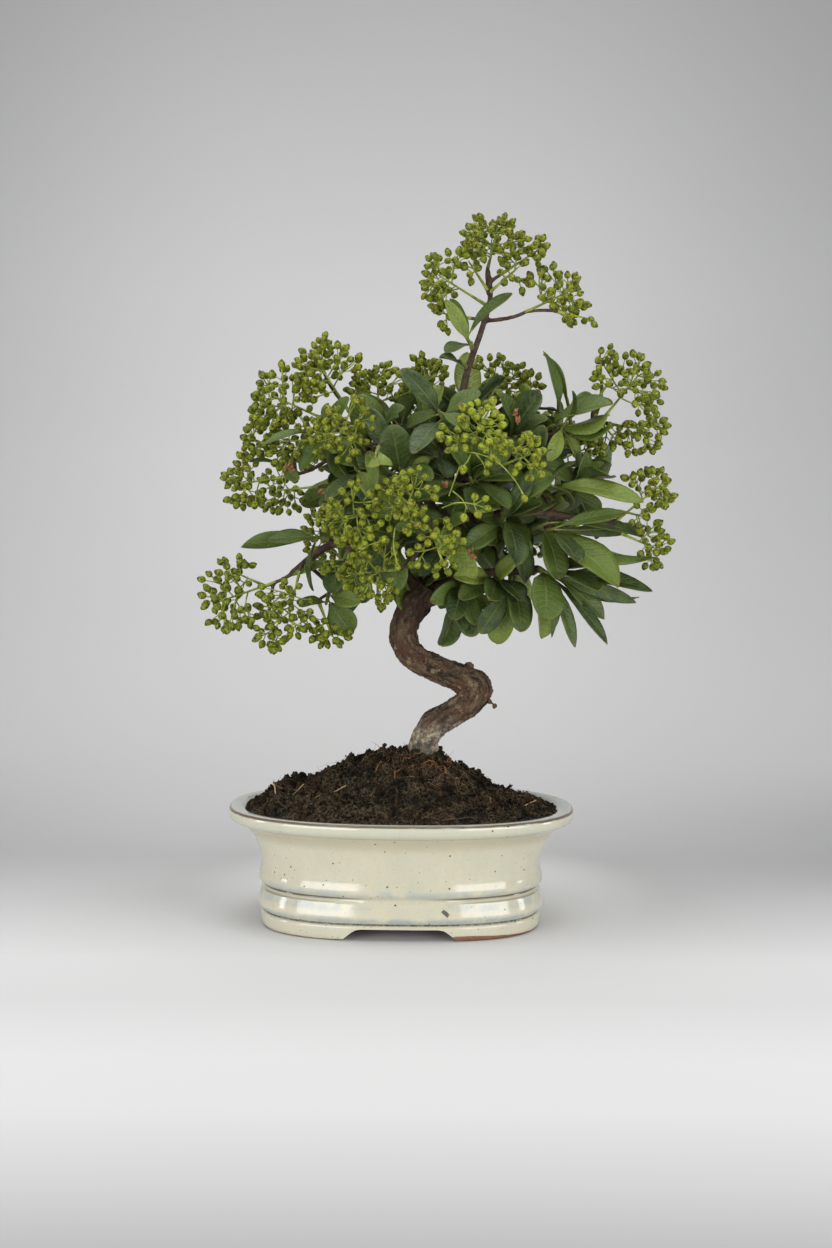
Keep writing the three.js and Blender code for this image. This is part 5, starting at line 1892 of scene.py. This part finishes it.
# %% Long rays and withered flowers
LONG_RAYS = [
    ([(28, -58, 229), (34, -61, 228), (42, -62, 224.8), (50, -62, 217), (54.6, -61, 210)],
     [(55.3, -61, 208)]),
    ([(17.6, -59, 203.2), (24, -62, 205.6), (30.3, -61, 205.4), (34, -60, 204.6)],
     [(32.4, -63, 208.4), (37.4, -60, 207.6), (38.4, -61, 203.2), (34, -62, 200.6)]),
    ([(4.4, -61, 196.7), (9, -63, 195), (14.5, -63, 191.8), (19, -62, 189)],
     [(24.1, -62, 191.6), (21.6, -62, 186)]),
    ([(22.5, -58, 211), (27, -60, 207), (29.3, -60, 202.6)], [(27.6, -60, 199)]),
    ([(-3.8, -61, 194), (-4.4, -63, 186), (-2.7, -62, 178)], [(-2.4, -62, 176)]),
    ([(-20.2, -58, 182.7), (-16, -60, 185.8), (-11.1, -59, 187.4)], [(-9, -59, 188.6)]),
    ([(30.5, -58, 228), (29, -61, 224.6), (27.6, -60, 223)], [(27.2, -60, 221)]),
    ([(33, -58, 228), (35.6, -61, 224.6), (37.2, -60, 222)], [(37.6, -60, 219.6)]),
    ([(25.6, -58, 222.4), (23, -60, 215.4), (20.7, -59, 208.7)], []),
]
WITHERED = [(51, -56, 247.3), (52, -56, 244), (5.3, -57, 203.1), (7.6, -57, 201.4), (32.1, -56, 181.4),
            (31.4, -56, 184), (-55.3, -30, 222.4), (-53.4, -30, 221.4), (-38.2, -50, 210.1), (19, -58, 214)]


def moved_clear(places, gap):
    """The places, moved towards the front together until they are clear of the leaves."""
    for _ in range(8):
        if thicket.is_clear(places, gap):
            break
        places = [place + Vector((0, -1.5, 0)) for place in places]
    return places


def withered_flower(bm, place, templates, draw):
    """A small tuft of dry scales."""
    for k in range(5):
        size = 0.8 + 0.5 * draw()
        spot = place + jitter(draw) * 2
        slim = Matrix.Diagonal((0.5, 0.6, 1.3, 1))
        matrix = Matrix.Translation(spot) @ turned(draw) @ Matrix.Scale(size, 4) @ slim
        add_copy(bm, templates[k % len(templates)], matrix)


def long_rays():
    bm = bmesh.new()
    draw = draws(81)
    templates = [crumb_template(seed, 2) for seed in range(3)]
    for place in WITHERED:
        withered_flower(bm, moved_clear([Vector(place)], 1.2)[0], templates, draw)
    for face in bm.faces:
        face.material_index = 2
    for places, ends in LONG_RAYS:
        points = moved_clear([Vector(place) for place in places + ends], LEAF_GAP)
        line = smooth_curve(points[:len(places)], 4)
        add_tubes(bm, [[(spot, 0.36 - 0.1 * k / len(line)) for k, spot in enumerate(line)]], 1, 1)
        for end in points[len(places):]:
            start = line[-2 if len(ends) == 1 else -3]
            add_tubes(bm, [stalk_line(start, end, draw, 0.28, 0.24)], 1, 1)
            add_berry(bm, end, (end - start).normalized(), draw)
            crowd.take(end)
    return bm


crowd = Crowd(BERRY_GAP)
withered = plain_finish("withered_flower", (84, 54, 32), (158, 110, 68), 1.4, 0.85)
finish_piece("long_rays", long_rays(), [*BERRY_MATERIALS, withered])
print("long rays:", len(LONG_RAYS), "withered flowers:", len(WITHERED))

# %% [markdown]
# The long rays keep their places, so the heads come after them. The large heads go first, each with the
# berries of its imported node, and the small ones then find room between them.

# %% Heads in place
berry_count = 0
for order, row in enumerate(HEADS):
    lines, berries = place_berries(row, order, packed_points("berries_" + row[0]), crowd)
    berry_count += len(berries)
    head_bm = head_mesh(lines, berries, draws(4000 + order))
    finish_piece("head_" + row[0], head_bm, BERRY_MATERIALS, ["berries_" + row[0]])
small_bm = bmesh.new()
for order, row in enumerate(MORE_HEADS):
    lines, berries = place_berries(row, 200 + order, None, crowd)
    berry_count += len(berries)
    join(small_bm, head_mesh(lines, berries, draws(4500 + order)))
small_heads = finish_piece("small_heads", small_bm, BERRY_MATERIALS)
print("berries:", berry_count, "faces of the small heads:", len(small_heads.data.polygons))

# %% [markdown]
# The room is a pale grey sweep: a table that curves up into a wall, so that no line shows behind the pot.

# %% Stage
SWEEP_START = 170
SWEEP_RADIUS = 260
SWEEP_FRONT = -1100
SWEEP_LENGTH = 2600
SWEEP_HALF_WIDTH = 1500


def sweep_place(x, run):
    """Where a point of the flat sheet lies once the sheet is bent up behind the pot."""
    if run < SWEEP_START:
        return Vector((x, run, 0))
    turn = min((run - SWEEP_START) / SWEEP_RADIUS, math.pi / 2)
    rest = run - SWEEP_START - turn * SWEEP_RADIUS
    y = SWEEP_START + SWEEP_RADIUS * math.sin(turn)
    return Vector((x, y, SWEEP_RADIUS * (1 - math.cos(turn)) + rest))


def sweep_sheet():
    bm = bmesh.new()
    layer = bm.verts.layers.float.new("run")
    bmesh.ops.create_grid(bm, x_segments=8, y_segments=200, size=1)
    for vert in bm.verts:
        run = SWEEP_FRONT + (vert.co.y + 1) / 2 * SWEEP_LENGTH
        vert[layer] = run
        vert.co = sweep_place(vert.co.x * SWEEP_HALF_WIDTH, run)
    mesh = mesh_of(bm, "sweep")
    mesh.transform(TO_FRAME)
    mesh.shade_smooth()
    return placed("sweep", mesh)


SHEET_START, SHEET_END = -500, 1000
# Painted light and shade along the sweep, by run: darker at the front edge, paler on the table before the
# pot, darker behind it and at the top of the wall.
PAINTED_SWEEP_GREYS = [(-400, 166), (-347, 190), (-285, 207), (-230, 210), (-150, 203), (-85, 210), (40, 192),
               (150, 182), (300, 181), (450, 186), (568, 194), (678, 184), (787, 168), (900, 149)]
# Painted shade towards the sides of the sweep, most on the wall.
PAINTED_SIDE_SHADE = (120, 120, 122)
# Painted light round the pot's sides and back, where its shadow falls on the paper.
PAINTED_LIGHT_BESIDE_POT = (232, 232, 230)


def sweep_finish():
    """Grey paper with painted light and shade, paler mid-picture; from behind it can be looked through."""
    recipe = Recipe("paper_sweep")
    span = SHEET_END - SHEET_START
    share = (recipe.attribute("run") - SHEET_START) / span
    stops = [((run - SHEET_START) / span, (grey, grey, grey)) for run, grey in PAINTED_SWEEP_GREYS]
    # The painted light and shade along the sweep.
    paper = recipe.node("ValToRGB", {"stops": stops}, {0: share})
    here = recipe.millimetres()
    side = recipe.axis(here, 0)
    # How strongly the painted side shade shows at each part of the sweep, most on the wall.
    wall = share.step(0.22, 0.42) * 0.25 + share.step(0.5, 0.9) * 0.22
    wall = wall + (share - 0.45).size().step(0.1, 0.03) * 0.3
    colour = ((side + 35).size().step(60, 420) * wall).mix(paper, PAINTED_SIDE_SHADE)
    # Painted light beside and behind the pot, which cancels most of its shadow on the paper.
    beside = recipe.distance(here, (12, 70, 0)).step(140, 65)
    colour = (beside * 0.7).mix(colour, PAINTED_LIGHT_BESIDE_POT)
    behind = recipe.node("NewGeometry", output=6)
    return recipe.surface(Base_Color=colour, Roughness=0.9, Alpha=1 - behind)


sweep = sweep_sheet()
sweep.data.materials.append(sweep_finish())
print("sweep points:", len(sweep.data.vertices))

# %% [markdown]
# Two wide soft boxes in front light the tree from the left and the right, and show as pale windows in the
# glaze, with a narrow one further round on each side. A large soft light overhead and an even grey world
# fill the shadows.


# %% Lights
TREE_MIDDLE = (0, 0, 190)
SOFT_BOXES = [
    ("left_box", (-528, -700, 190), TREE_MIDDLE, 730, 285, 4.1),
    ("right_box", (615, -625, 190), TREE_MIDDLE, 740, 285, 3.85),
    ("left_strip", (-870, -98, 190), TREE_MIDDLE, 150, 205, 0.8),
    ("right_strip", (877, 15, 190), TREE_MIDDLE, 160, 205, 0.8),
    ("overhead", (0, -120, 1000), (0, 0, 0), 900, 900, 8),
]
WORLD_GREY = (204, 204, 204)
WORLD_STRENGTH = 0.48


def soft_box(name, place, target, width, height, power):
    """A rectangular light in watts at a place, turned towards its target."""
    light = bpy.data.lights.new(name, "AREA")
    light.shape = "RECTANGLE"
    light.size = width * MM
    light.size_y = height * MM
    light.energy = power
    thing = placed(name, light)
    place, target = TO_FRAME @ Vector(place), TO_FRAME @ Vector(target)
    thing.location = place
    thing.rotation_euler = (target - place).to_track_quat("-Z", "Y").to_euler()


for row in SOFT_BOXES:
    soft_box(*row)
world = bpy.data.worlds.new("room")
world.use_nodes = True
background = world.node_tree.nodes["Background"]
background.inputs["Color"].default_value = rgba(WORLD_GREY)
background.inputs["Strength"].default_value = WORLD_STRENGTH
scene.world = world
scene.view_settings.view_transform = "Standard"
